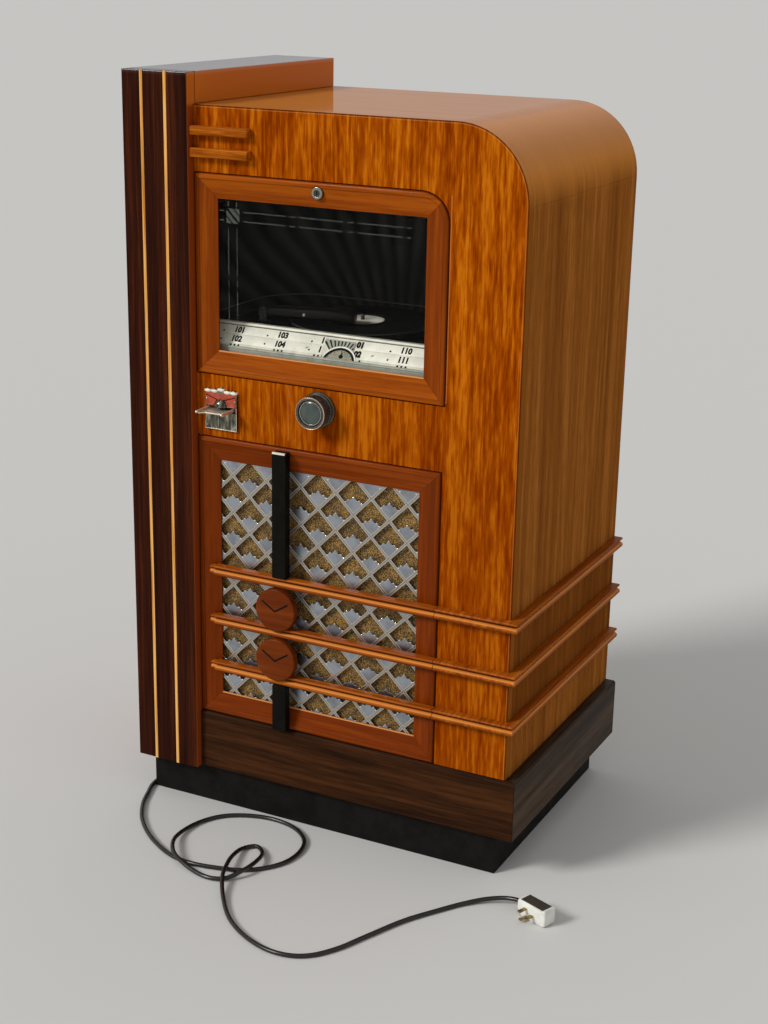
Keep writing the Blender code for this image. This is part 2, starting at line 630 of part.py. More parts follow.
def one_opening(centre_x, centre_z, half, peak, x, z):
    """One hole's outline, or None where the sheet's edge leaves less than a sliver of it."""
    least = 0.0012
    places = {0.0, -half[0], half[0]} | {u for u, _ in peak}
    places |= {limit - centre_x for limit in x}
    for level in (z[0] - centre_z, z[1] - centre_z):
        if abs(level) < half[1]:
            across = half[0] * (1 - abs(level) / half[1])
            places |= {-across, across}
    low, high = max(-half[0], x[0] - centre_x), min(half[0], x[1] - centre_x)
    if high - low < 3 * least:
        return None
    spots = []
    for place in sorted(p for p in places if low - 1e-9 <= p <= high + 1e-9):
        if spots and place - spots[-1] < 4e-4:
            if spots[-1] - low < 1e-9:
                continue
            spots.pop()
        spots.append(place)
    floor, roof = [], []
    for u in spots:
        top = min(half[1] * (1 - abs(u) / half[0]), z[1] - centre_z)
        bottom = -half[1] * (1 - abs(u) / half[0])
        if peak[0][0] <= u <= peak[-1][0]:
            bottom = max(bottom, float(np.interp(u, [p[0] for p in peak], [p[1] for p in peak])))
        bottom = max(bottom, z[0] - centre_z)
        floor.append((u, bottom))
        roof.append((u, max(top, bottom)))
    kept = [i for i in range(len(floor)) if roof[i][1] - floor[i][1] > 1e-6]
    if not kept or max(roof[i][1] - floor[i][1] for i in kept) < 3 * least:
        return None
    first, last = max(kept[0] - 1, 0), min(kept[-1] + 1, len(floor) - 1)
    points = []
    for u, v in floor[first:last + 1] + list(reversed(roof[first:last + 1])):
        point = (centre_x + u, centre_z + v)
        if not points or math.dist(point, points[-1]) > 2e-4:
            points.append(point)
    if math.dist(points[0], points[-1]) < 2e-4:
        points.pop()
    return drop_straight(points)


def drop_straight(points):
    """Leave out the points that lie on the line between their neighbours."""
    kept = []
    for i, point in enumerate(points):
        before, after = points[i - 1], points[(i + 1) % len(points)]
        turn = (point[0] - before[0]) * (after[1] - point[1]) - (point[1] - before[1]) * (after[0] - point[0])
        if abs(turn) > 1e-9:
            kept.append(point)
    return kept


def build_grille_door(look):
    """The grille door: it swings to the left on an upright rod and carries the ornaments."""
    frame = door_frame("grille_frame", GRILLE_X, GRILLE_Z, GRILLE_BACK, 0, (0.008, 0.025), look["mahogany"])
    hinge_x = GRILLE_X[0] + ROD_INSET
    cutters = [rod("grille_bore", (wide(hinge_x), deep(ROD_DEPTH), GRILLE_Z[0] - 0.01),
                   (wide(hinge_x), deep(ROD_DEPTH), GRILLE_Z[1] + 0.01), ROD_BORE)]
    for name, bottom in zip(("upper", "middle", "lower"), RAIL_BOTTOMS):
        cutters.append(box("housing_" + name, spread((0.560, GRILLE_X[1] + 0.01)), reach((0, BODY_FRONT)),
                           (bottom - GAP, bottom + RAIL_HEIGHT + GAP)))
    combine(frame, cutters)
    rod("grille_hinge_rod", (wide(hinge_x), deep(ROD_DEPTH), GRILLE_Z[0] - ROD_END),
        (wide(hinge_x), deep(ROD_DEPTH), GRILLE_Z[1] + ROD_END), ROD_RADIUS, look["steel"])

    edge = FRAME_WIDTH - 0.008 + GAP
    sheet_x = (GRILLE_X[0] + edge, GRILLE_X[1] - edge)
    sheet_z = (GRILLE_Z[0] + edge, GRILLE_Z[1] - edge)
    seen_x = (GRILLE_X[0] + FRAME_WIDTH - GRILLE_RIM, GRILLE_X[1] - FRAME_WIDTH + GRILLE_RIM)
    seen_z = (GRILLE_Z[0] + FRAME_WIDTH - GRILLE_RIM, GRILLE_Z[1] - FRAME_WIDTH + GRILLE_RIM)
    sheet = plate("grille_sheet", [rectangle(spread(sheet_x), sheet_z)] + grille_openings(seen_x, seen_z),
                  "XZ", deep(GRILLE_FRONT), deep(GRILLE_FRONT + GRILLE_THICK), look["grille"])
    cloth = box("speaker_cloth", spread(sheet_x), reach((0.0325, 0.0355)), sheet_z, look["cloth"])
    pieces = [frame, sheet, cloth]

    section = rail_section()
    for name, bottom in zip(("upper", "middle", "lower"), RAIL_BOTTOMS):
        rings = []
        for x, scale in ((RAIL_LEFT, 0.45), (RAIL_LEFT + 0.0015, NOSE_SCALE), (RAIL_LEFT + RAIL_NOSE, NOSE_SCALE),
                         (RAIL_LEFT + RAIL_NOSE + 0.0008, 1.0), (GRILLE_X[1], 1.0)):
            middle = RAIL_HEIGHT / 2
            rings.append([(wide(x), deep(BODY_FRONT - GAP - out * scale), bottom + middle + (z - middle) * scale)
                          for out, z in section])
        pieces.append(loft("door_rail_" + name, rings, look["mahogany"]))

    for name, above, below in (("upper", 0, 1), ("lower", 1, 2)):
        tops = RAIL_BOTTOMS[above], RAIL_BOTTOMS[below] + RAIL_HEIGHT
        pieces.append(clock_disc(name, *tops, look["mahogany"]))

    bars = (("black_bar_upper", RAIL_BOTTOMS[0] + RAIL_HEIGHT + GAP, GRILLE_Z[1] - 0.005),
            ("black_bar_lower", GRILLE_Z[0] + 0.002, RAIL_BOTTOMS[2] - GAP))
    for name, low, high in bars:
        pieces.append(box(name, spread(BAR_X), reach((BAR_FRONT, FRAME_FRONT - GAP)), (low, high),
                          look["black_wood"], rounding=0.001, steps=1))
    hinge = axis_at("grille_door_axis", wide(hinge_x), deep(ROD_DEPTH), GRILLE_Z[0])
    carry(hinge, pieces)


def clock_disc(name, top, bottom, look):
    """A turned disc that hangs close under one rail and is let over the next, with grooves like clock hands."""
    middle = top - 0.0008 - DISC_RADIUS
    round_ = 0.0026
    edge = [(DISC_RADIUS - round_ + u, v - round_) for u, v in arc((0, 0), round_, 90, 0, 3)]
    profile = [(0, 0)] + edge + [(DISC_RADIUS, -DISC_THICK), (0, -DISC_THICK)]
    disc = turned("clock_disc_" + name, profile, look, steps=32)
    face_forward(disc, DISC_X, DISC_FRONT, middle)
    rail_front = BODY_FRONT - GAP - RAIL_DEPTH - GAP
    across = spread((DISC_X - 0.06, DISC_X + 0.06))
    cutters = [box(name + "_disc_foot", across, reach((rail_front, 0.05)), (bottom - 0.03, bottom + GAP))]
    for side in (-1, 1):
        start = Vector((wide(DISC_X), 0, middle - 0.0012))
        tip = start + Vector((side * 0.025, 0, 0.016))
        hand = box(name + "_hand_" + ("left" if side < 0 else "right"), (-0.001, 0.0305), (-0.0012, 0.0012),
                   (-0.01, 0.0018))
        along = (tip - start).normalized()
        across = along.cross(Vector((0, -1, 0)))
        frame = Matrix((along, across, Vector((0, 1, 0)))).transposed().to_4x4()
        hand.matrix_world = Matrix.Translation((start.x, deep(DISC_FRONT), start.z)) @ frame @ hand.matrix_basis
        cutters.append(hand)
    combine(disc, cutters)
    return disc


def build_deck(look):
    """The record compartment: deck, curved backdrop, title panel, motor, platter and record."""
    x, y = wide(PLATTER_AT[0]), deep(PLATTER_AT[1])
    deck_under = DECK_TOP - DECK_THICK
    deck = box("deck_board", spread((INSIDE_LEFT + GAP, INSIDE_RIGHT - GAP)), reach((DECK_FRONT, INSIDE_REAR - GAP)),
               (deck_under, DECK_TOP), look["black"])
    combine(deck, [rod("bearing_hole", (x, y, 0.8), (x, y, 0.95), 0.0110, steps=24)])

    boss, motor_top = DECK_TOP + 0.0025, deck_under - GAP
    motor = turned("motor", [(0.0045, boss), (0.0095, boss), (0.0105, boss - 0.001), (0.0105, motor_top),
                             (0.048, motor_top), (0.048, motor_top - 0.004), (0.042, motor_top - 0.006),
                             (0.042, motor_top - 0.066), (0.036, motor_top - 0.072), (0, motor_top - 0.072),
                             (0, motor_top - 0.040), (0.0045, motor_top - 0.040)],
                   look["steel"], closed=True, steps=16)
    motor.location = (x, y, 0)

    spin = axis_at("turntable_axis", x, y, DECK_TOP)
    top, hub = PLATTER_TOP, DECK_TOP + 0.0035
    platter = turned("turntable_platter",
                     [(0, top + 0.013), (0.0018, top + 0.0125), (0.0034, top + 0.010), (0.0034, top),
                      (0.122, top), (PLATTER_RADIUS, top - 0.002), (PLATTER_RADIUS, hub), (0.119, hub),
                      (0.119, top - 0.003), (0.022, top - 0.003), (0.022, hub), (SPINDLE_RADIUS, hub),
                      (SPINDLE_RADIUS, motor_top - 0.030), (0, motor_top - 0.030)],
                     look["steel"], steps=36)
    platter.location = (x, y, 0)
    low, high = PLATTER_TOP + GAP, PLATTER_TOP + GAP + RECORD_THICK
    record = turned("record", [(0.0038, high), (0.0365, high), (0.0370, high - 0.0004), (0.1255, high - 0.0004),
                               (RECORD_RADIUS, high - 0.0010), (0.1255, low), (0.0038, low)],
                    look["shellac"], closed=True, steps=40)
    record.location = (x, y, 0)
    carry(spin, [platter, record])

    left, right = INSIDE_LEFT + 0.001, INSIDE_RIGHT - 0.001
    rear, bend, thick = BACKDROP_REAR, BACKDROP_BEND, BACKDROP_THICK
    outer = [(wide(left), deep(BACKDROP_FRONT))]
    outer += arc((wide(left + bend), deep(rear + thick - bend)), bend, 180, 90, 10)
    outer += arc((wide(right - bend), deep(rear + thick - bend)), bend, 90, 0, 10)
    outer.append((wide(right), deep(BACKDROP_FRONT)))
    inner = [(wide(right - thick), deep(BACKDROP_FRONT))]
    inner += arc((wide(right - bend), deep(rear + thick - bend)), bend - thick, 0, 90, 10)
    inner += arc((wide(left + bend), deep(rear + thick - bend)), bend - thick, 90, 180, 10)
    inner.append((wide(left + thick), deep(BACKDROP_FRONT)))
    backdrop = plate("backdrop", [outer + inner], "XY", DECK_TOP + GAP, BODY_TOP - BOARD - GAP, look["black"])
    bend_x, bend_z = BODY_RIGHT - BEND_RADIUS, BODY_TOP - BEND_RADIUS
    radius = BEND_RADIUS - BOARD - 2 * GAP
    waste = arc((wide(bend_x), bend_z), radius, 0, 90, 12)
    waste += [(wide(bend_x), bend_z + 0.2), (wide(bend_x + 0.2), bend_z + 0.2), (wide(bend_x + 0.2), bend_z)]
    combine(backdrop, [plate("backdrop_corner_cut", [waste], "XZ", deep(0.05), deep(0.45))])

    sheet = 0.0024
    section = [PANEL_FOOT, PANEL_HEAD, (DECK_FRONT - GAP, PANEL_HEAD[1]), (DECK_FRONT - GAP, deck_under),
               (DECK_FRONT - GAP - sheet, deck_under), (DECK_FRONT - GAP - sheet, PANEL_HEAD[1] - 0.0050),
               (PANEL_FOOT[0] + 0.0035, PANEL_FOOT[1])]
    panel = plate("title_panel", [[(deep(u), v) for u, v in section]], "YZ",
                  wide(INSIDE_LEFT + GAP), wide(INSIDE_RIGHT - GAP), look["cream"])
    build_pointer(panel, look)


def panel_axes():
    """The title panel's slope: the direction up it, and its outward normal."""
    up = Vector((0, PANEL_HEAD[0] - PANEL_FOOT[0], PANEL_HEAD[1] - PANEL_FOOT[1])).normalized()
    return up, Vector((0, -up.z, up.y))


def build_pointer(panel, look):
    """The selector's dial pointer, on a spindle through the title panel."""
    up, out = panel_axes()
    pivot = Vector((wide(POINTER_X), deep(PANEL_FOOT[0]), PANEL_FOOT[1])) + up * POINTER_UP_PANEL
    combine(panel, [rod("pointer_hole", pivot - out * 0.01, pivot + out * 0.01, 0.0020)])
    profile = [(0, 0.0022), (0.0032, 0.0022), (0.0038, 0.0016), (0.0038, 0.0004), (0.0016, 0.0004), (0.0016, -0.0060),
               (0.0055, -0.0060), (0.0055, -0.0085), (0, -0.0085)]
    pointer = turned("dial_pointer", profile, look["black"], steps=16)
    needle = plate("pointer_needle", [[(-0.0012, 0), (0.0012, 0), (0.0003, 0.0225), (-0.0003, 0.0225)]], "XY",
                   0.0006, 0.0014)
    frame = Matrix((Vector((1, 0, 0)), up, out)).transposed().to_4x4()
    for piece in (pointer, needle):
        piece.matrix_world = Matrix.Translation(pivot) @ frame @ piece.matrix_basis
    combine(pointer, [needle], "UNION")
    carry(axis_at("pointer_axis", *pivot), [pointer])


def build_tonearm(look):
    """The tonearm: a yoke that swings on a post, and an arm that lifts between the yoke's ears."""
    x, y = wide(ARM_AT[0]), deep(ARM_AT[1])
    base = turned("tonearm_base", [(0.0043, 0.905), (0.011, 0.905), (0.012, 0.904), (0.012, 0.8900),
                                   (0.022, DECK_TOP + 0.0035), (0.022, DECK_TOP + GAP), (0, DECK_TOP + GAP),
                                   (0, 0.8885), (0.0043, 0.8885)], look["chrome"], closed=True, steps=16)
    base.location = (x, y, 0)
    swing = axis_at("tonearm_axis", x, y, 0.905, ARM_ANGLE)
    frame = swing.matrix_world
    drop = swing.location.z

    yoke = turned("tonearm_yoke", [(0, 0.9083), (0.0105, 0.9083), (0.0115, 0.9075), (0.0115, 0.9053), (0.0040, 0.9053),
                                   (0.0040, 0.8890), (0, 0.8890)], look["chrome"], steps=16)
    ears = [box("ear_" + side, (-0.006, 0.006), where, (0.9070, 0.9290))
            for side, where in (("left", (0.0083, 0.0106)), ("right", (-0.0106, -0.0083)))]
    pin_hole = rod("yoke_pin_hole", (0, -0.02, ARM_PIVOT_Z), (0, 0.02, ARM_PIVOT_Z), 0.0018)

    stations = ((-0.0095, 0.0070, 0.9145, 0.9255), (0.0080, 0.0075, 0.9130, 0.9275), (0.0120, 0.0085, 0.9120, 0.9285),
                (0.0500, 0.0130, 0.9110, 0.9295), (0.0900, 0.0190, 0.9095, 0.9310), (0.1200, 0.0245, 0.9075, 0.9315),
                (0.1430, 0.0250, 0.9060, 0.9300), (0.1550, 0.0230, 0.9060, 0.9275), (0.1585, 0.0190, 0.9075, 0.9240))
    rings = []
    for along, half, low, high in stations:
        middle, tall = (low + high) / 2, (high - low) / 2
        ring = [(along, half * 0.93 * math.cos(a), middle + tall * math.sin(a))
                for a in (math.radians(22.5 + 45 * i) for i in range(8))]
        rings.append(ring)
    arm = loft("tonearm", rings, look["bakelite"])
    joins = [
        rod("arm_pin", (0, -0.0118, ARM_PIVOT_Z), (0, 0.0118, ARM_PIVOT_Z), 0.0015),
        rod("needle", (ARM_REACH, 0, NEEDLE_BOTTOM), (ARM_REACH, 0, 0.912), 0.0009, steps=8),
    ]
    for piece in [yoke, pin_hole, arm] + ears + joins:
        piece.matrix_world = frame @ Matrix.Translation((0, 0, -drop)) @ piece.matrix_basis
    combine(yoke, ears, "UNION")
    combine(yoke, [pin_hole])
    combine(arm, joins, "UNION")
    carry(swing, [yoke])
    lift = axis_at("tonearm_lift_axis", x, y, ARM_PIVOT_Z, ARM_ANGLE)
    carry(swing, [lift])
    carry(lift, [arm])


def build_coin_gear(look):
    """The coin plate with its push slide, the chute behind it and the cash box."""
    low_x, high_x = COIN_PLATE_X
    low_z, high_z = COIN_PLATE_Z
    lobe = (high_x - low_x) / 10
    outline = [(wide(low_x), low_z), (wide(high_x), low_z)]
    for i in range(5):
        centre = wide(high_x) - lobe * (2 * i + 1)
        rise = 0.0032 if i == 2 else 0.0
        outline += [(u, v + rise) for u, v in arc((centre, high_z), lobe * 0.98, 0, 180, 6)]
    plate_piece = plate("coin_plate", [outline], "XZ", deep(COIN_PLATE_FRONT), deep(BODY_FRONT - GAP), look["chrome"])
    middle = (low_x + high_x) / 2
    dome = turned("coin_dome", [(0, 0.0095), (0.0050, 0.0088), (0.0095, 0.0062), (0.0125, 0.0015), (0.0130, -0.003),
                                (0, -0.003)], steps=24)
    face_forward(dome, middle, COIN_PLATE_FRONT, SLIDE_Z + 0.0045)
    slot = box("slide_slot", spread((low_x + 0.0035, high_x - 0.0035)), reach((-0.02, 0.03)),
               (SLIDE_Z - 0.0058, SLIDE_Z + 0.0036))
    combine(plate_piece, [dome], "UNION")
    combine(plate_piece, [slot])

    rail_x = (low_x + 0.0072, high_x - 0.0072)
    inner_end = 0.060
    tray = [(wide(rail_x[0]), deep(inner_end)), (wide(rail_x[0]), deep(SLIDE_TIP + 0.006)),
            (wide(rail_x[0] + 0.010), deep(SLIDE_TIP + 0.014)), (wide(rail_x[1] - 0.010), deep(SLIDE_TIP + 0.014)),
            (wide(rail_x[1]), deep(SLIDE_TIP + 0.006)), (wide(rail_x[1]), deep(inner_end))]
    slide = plate("coin_slide", [tray], "XY", SLIDE_Z - 0.0040, SLIDE_Z - 0.0018, look["chrome"])
    arms = []
    for side, x in zip(("left", "right"), rail_x):
        radius = 0.0026
        tip = turned("slide_arm_" + side, [(0, 0), (0.0016, -0.0006), (radius, -0.0024), (radius, SLIDE_TIP - inner_end),
                                           (0, SLIDE_TIP - inner_end)], steps=12)
        arms.append(face_forward(tip, x, SLIDE_TIP, SLIDE_Z))
    combine(slide, arms, "UNION")
    carry(axis_at("coin_slide_axis", wide(middle), deep(COIN_PLATE_FRONT), SLIDE_Z), [slide])

    chute = box("coin_chute", spread((0.148, 0.208)), reach((PANEL_BACK + GAP, 0.098)), (0.726, 0.788), look["steel"])
    tube = box("chute_tube", spread((0.157, 0.199)), reach((0.062, 0.084)), (0.200, 0.730))
    hollow = box("chute_channel", spread((0.1494, 0.2066)), reach((0.03, 0.0955)), (0.7495, 0.7705))
    bore = box("chute_bore", spread((0.1595, 0.1965)), reach((0.0645, 0.0815)), (0.190, 0.760))
    combine(chute, [tube], "UNION")
    combine(chute, [hollow, bore])
    cash = box("cash_box", spread((0.112, 0.218)), reach((0.045, 0.170)), (FLOOR_TOP + GAP, 0.185), look["steel"])
    combine(cash, [box("cash_box_inside", spread((0.1136, 0.2164)), reach((0.0466, 0.1684)), (FLOOR_TOP + 0.002, 0.2))])


def build_selector(look):
    """The selector knob, on a shaft that runs in its ring, and the cord pulley behind the panel."""
    x, z = KNOB_AT
    ring = turned("knob_ring", [(0.0040, 0), (0.0285, 0), (0.0305, -0.0022), (0.0305, -0.0050), (0.0040, -0.0050)],
                  look["chrome"], closed=True, steps=24)
    face_forward(ring, x, BODY_FRONT - GAP - 0.0050, z)
    deep_back = KNOB_FRONT - KNOB_BACK
    shaft_end = KNOB_FRONT - 0.075
    knob = turned("selector_knob",
                  [(0, -0.0012), (0.0195, -0.0012), (0.0200, 0.0), (0.0245, 0.0), (KNOB_RADIUS, -0.0022),
                   (KNOB_RADIUS, -0.0045), (0.0262, -0.0060), (0.0262, deep_back + 0.003), (KNOB_RADIUS, deep_back),
                   (0.0036, deep_back), (0.0036, shaft_end + 0.012), (0.014, shaft_end + 0.012),
                   (0.0125, shaft_end + 0.009), (0.014, shaft_end + 0.006), (0.0036, shaft_end + 0.006),
                   (0.0036, shaft_end), (0, shaft_end)], look["black"], steps=24)
    face_forward(knob, x, KNOB_FRONT, z)
    carry(axis_at("knob_axis", wide(x), deep(KNOB_BACK), z), [knob])


def build_sound(look):
    """The loudspeaker on its baffle, and the amplifier on the floor board."""
    x, z = SPEAKER_AT
    outline = rectangle(spread((0.225, INSIDE_RIGHT - GAP)), (FLOOR_TOP + GAP, 0.640))
    hole = arc((wide(x), z), SPEAKER_HOLE, 0, 360 - 360 / 32, 31)
    plate("baffle_board", [outline, hole], "XZ", deep(BAFFLE_FRONT), deep(BAFFLE_FRONT + BAFFLE_THICK), look["plywood"])
    start = BAFFLE_FRONT + BAFFLE_THICK + GAP
    basket = [(0.136, 0), (0.152, 0), (0.152, -0.003), (0.138, -0.004), (0.090, -0.080), (0.058, -0.088),
              (0.058, -0.128), (0, -0.128), (0, -0.091), (0.056, -0.085), (0.088, -0.077), (0.136, -0.003)]
    frame = turned("speaker_frame", basket, look["black"], closed=True, steps=24)
    face_forward(frame, x, start, z)
    cone = turned("speaker_cone", [(0, -0.044), (0.028, -0.052), (0.128, -0.004), (0.1335, -0.0055), (0.128, -0.0065),
                                   (0.030, -0.070), (0, -0.070)], look["cone"], steps=24)
    face_forward(cone, x, start, z)

    chassis = box("amplifier", spread((0.290, 0.620)), reach((0.280, 0.440)), (FLOOR_TOP + GAP, 0.150), look["steel"],
                  rounding=0.003, steps=1)
    blocks = [box("transformer_" + side, spread(where), reach((0.310, 0.380)), (0.145, 0.225))
              for side, where in (("mains", (0.300, 0.380)), ("output", (0.540, 0.600)))]
    valves = []
    for i, place in enumerate((0.420, 0.460, 0.500)):
        valve = turned(f"valve_{i}", [(0, 0.235), (0.010, 0.232), (0.019, 0.215), (0.021, 0.195), (0.016, 0.172),
                                      (0.016, 0.145), (0, 0.145)], steps=10)
        valve.location = (wide(place), deep(0.345), 0)
        valves.append(valve)
    combine(chassis, blocks + valves, "UNION")


def smooth_route(points, count):
    """Read points from one smooth curve through a route, closer together where it bends.

    The curve is a centripetal Catmull-Rom spline. Its points are spaced by length over 60 mm plus turn over 0.35,
    with a short straight run at each end.
    """
    route = np.array([(wide(x / 1000), deep(y / 1000), z / 1000) for x, y, z in points])
    padded = np.vstack([2 * route[0] - route[1], route, 2 * route[-1] - route[-2]])
    fine = []
    for i in range(len(route) - 1):
        p0, p1, p2, p3 = padded[i:i + 4]
        t1 = math.dist(p0, p1) ** 0.5
        t2 = t1 + math.dist(p1, p2) ** 0.5
        t3 = t2 + math.dist(p2, p3) ** 0.5
        for t in np.linspace(t1, t2, 24, endpoint=False):
            a1 = p0 * (t1 - t) / t1 + p1 * t / t1
            a2 = p1 * (t2 - t) / (t2 - t1) + p2 * (t - t1) / (t2 - t1)
            a3 = p2 * (t3 - t) / (t3 - t2) + p3 * (t - t2) / (t3 - t2)
            b1 = a1 * (t2 - t) / t2 + a2 * t / t2
            b2 = a2 * (t3 - t) / (t3 - t1) + a3 * (t - t1) / (t3 - t1)
            fine.append(b1 * (t2 - t) / (t2 - t1) + b2 * (t - t1) / (t2 - t1))
    fine.append(route[-1])
    fine = np.array(fine)
    fine[:, 2] = np.maximum(fine[:, 2], CORD_RADIUS + 0.00012)
    steps = np.diff(fine, axis=0)
    length = np.linalg.norm(steps, axis=1)
    along = steps / length[:, None]
    bend = np.arccos(np.clip((along[1:] * along[:-1]).sum(axis=1), -1, 1))
    cost = length / 0.060
    cost[1:] += bend / 0.35
    total = np.concatenate([[0], np.cumsum(cost)])
    places = np.concatenate([[0], np.cumsum(length)])
    first, last = np.interp([2 * CORD_RADIUS, places[-1] - 2 * CORD_RADIUS], places, total)
    wanted = np.concatenate([[0.0], np.linspace(first, last, count - 2), [total[-1]]])
    picked = np.column_stack([np.interp(wanted, total, fine[:, axis]) for axis in range(3)])
    picked[0], picked[-1] = fine[0], fine[-1]
    print(f"lead length {length.sum():.3f} m")
    return picked


def build_lead(look):
    """The mains lead: strain relief at the plinth's rear, the cord on the floor, and the plug."""
    exit_x, exit_y, exit_z = wide(CORD_EXIT[0] / 1000), deep(CORD_EXIT[1] / 1000), CORD_EXIT[2] / 1000
    relief_end = exit_y - GAP
    start = deep(KICK_REAR) - 0.006
    relief = turned("strain_relief", [(0, relief_end - start), (0.0044, relief_end - start), (0.0062, 0.0095),
                                      (0.0075, 0.0090), (0.0075, 0.0063), (0.0045, 0.0063), (0.0045, 0), (0, 0)],
                    look["rubber"], steps=16)
    relief.rotation_euler = (math.radians(-90), 0, 0)
    relief.location = (exit_x, start, exit_z)

    points = smooth_route(CORD_ROUTE, CORD_POINTS)
    curve = bpy.data.curves.new("power_cord", "CURVE")
    curve.dimensions = "3D"
    curve.bevel_depth = CORD_RADIUS
    curve.bevel_resolution = 2
    curve.use_fill_caps = True
    spline = curve.splines.new("POLY")
    spline.points.add(len(points) - 1)
    for point, place in zip(spline.points, points):
        point.co = (*place, 1)
    drawn = bpy.data.objects.new("cord_route", curve)
    PARTS.objects.link(drawn)
    solid_from(drawn, "power_cord", look["rubber"])

    long, thick, tall = PLUG_SIZE
    plug = box("plug", (0, long), (-thick / 2, thick / 2), (0, tall), look["white"], rounding=0.003, steps=2)
    blades = [
        box("blade_live", (0.017, 0.0233), (-thick / 2 - 0.017, 0), (0.0180, 0.0210)),
        box("blade_neutral", (0.032, 0.0383), (-thick / 2 - 0.017, 0), (0.0110, 0.0140)),
        box("blade_earth", (0.020, 0.0263), (-thick / 2 - 0.017, 0), (0.0045, 0.0075)),
    ]
    place = Matrix.Translation((wide(0.8003), deep(-0.0587), 0.0)) @ Matrix.Rotation(math.radians(PLUG_TURN), 4, "Z")
    for piece in [plug] + blades:
        piece.matrix_world = place @ piece.matrix_basis
    combine(plug, blades, "UNION")


def build():
    global PARTS, CUTTERS
    for old in list(bpy.data.objects):
        bpy.data.objects.remove(old, do_unlink=True)
    PARTS = bpy.data.collections.new("jukebox")
    CUTTERS = bpy.data.collections.new("cutters")
    for collection in (PARTS, CUTTERS):
        bpy.context.scene.collection.children.link(collection)
    look = materials()
    build_plinth(look)
    build_pillar(look)
    build_shell(look)
    build_front(look)
    build_window_door(look)
    build_grille_door(look)
    build_deck(look)
    build_tonearm(look)
    build_coin_gear(look)
    build_selector(look)
    build_sound(look)
    build_lead(look)
    for piece in PARTS.objects:
        if piece.type == "MESH":
            piece.data.shade_smooth()
            piece.data.set_sharp_from_angle(angle=math.radians(35))


build()
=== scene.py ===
"""A floor-standing coin record player: its veneers, doors, record deck, fittings, lead and studio.

Lengths are metres. Places across and into the cabinet are measured from the pillar's front left edge.
"""
import json
import logging
import math
from dataclasses import dataclass
from enum import Enum
from typing import Sequence

import bmesh
import bpy
import numpy as np
from mathutils import Matrix, Vector

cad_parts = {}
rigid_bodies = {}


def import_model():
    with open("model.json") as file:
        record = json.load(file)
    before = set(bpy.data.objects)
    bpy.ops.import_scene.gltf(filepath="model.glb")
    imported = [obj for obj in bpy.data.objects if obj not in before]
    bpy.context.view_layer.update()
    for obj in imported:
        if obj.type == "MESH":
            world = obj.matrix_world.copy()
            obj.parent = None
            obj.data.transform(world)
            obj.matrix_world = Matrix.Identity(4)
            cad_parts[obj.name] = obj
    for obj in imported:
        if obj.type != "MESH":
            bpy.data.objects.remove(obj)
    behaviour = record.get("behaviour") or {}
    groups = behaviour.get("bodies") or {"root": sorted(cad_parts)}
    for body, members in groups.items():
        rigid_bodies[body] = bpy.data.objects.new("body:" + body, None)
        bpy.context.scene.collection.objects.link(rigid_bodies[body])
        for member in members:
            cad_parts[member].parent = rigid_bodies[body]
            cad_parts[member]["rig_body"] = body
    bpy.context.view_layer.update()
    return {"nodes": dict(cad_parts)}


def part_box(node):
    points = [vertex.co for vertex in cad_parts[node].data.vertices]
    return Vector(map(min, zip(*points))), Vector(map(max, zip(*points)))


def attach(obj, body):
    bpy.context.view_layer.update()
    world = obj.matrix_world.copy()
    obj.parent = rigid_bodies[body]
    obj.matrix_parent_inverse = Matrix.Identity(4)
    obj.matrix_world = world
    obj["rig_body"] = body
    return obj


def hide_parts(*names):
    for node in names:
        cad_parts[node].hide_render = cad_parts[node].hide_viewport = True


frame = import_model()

Colour = tuple[int, int, int]

LOG = logging.getLogger("record_player")
LEFT, FACE = -0.374, -0.243  # the pillar's left face and its front face
BEND_X, BEND_Z, BEND_RADIUS = 0.605, 1.145, 0.123  # the body's rounded corner
SPINDLE = (0.350, 0.205)  # the turntable's centre, across and deep
WALL_LEFT, WALL_RIGHT, WALL_REAR, WALL_BEND = 0.1040, 0.7090, 0.352, 0.100  # the backdrop's line on the deck
FAN = (0.358, 0.720)  # where the flutes would meet, across and up
FLUTE_STEP, FLUTE_PHASE = 6.3, 27.0  # degrees from flute to flute, and to the first


def wide(x: float) -> float:
    """Distance to the right of the pillar's left face, as a coordinate."""
    return LEFT + x


def deep(y: float) -> float:
    """Distance behind the pillar's front face, as a coordinate."""
    return FACE + y


def linear(colour: Colour) -> tuple[float, float, float, float]:
    """Linear light for an sRGB colour written as bytes."""
    c = np.array(colour) / 255
    made = np.where(c <= 0.04045, c / 12.92, ((c + 0.055) / 1.055) ** 2.4)
    return (*made.tolist(), 1.0)


# ---------------------------------------------------------------- shader maths


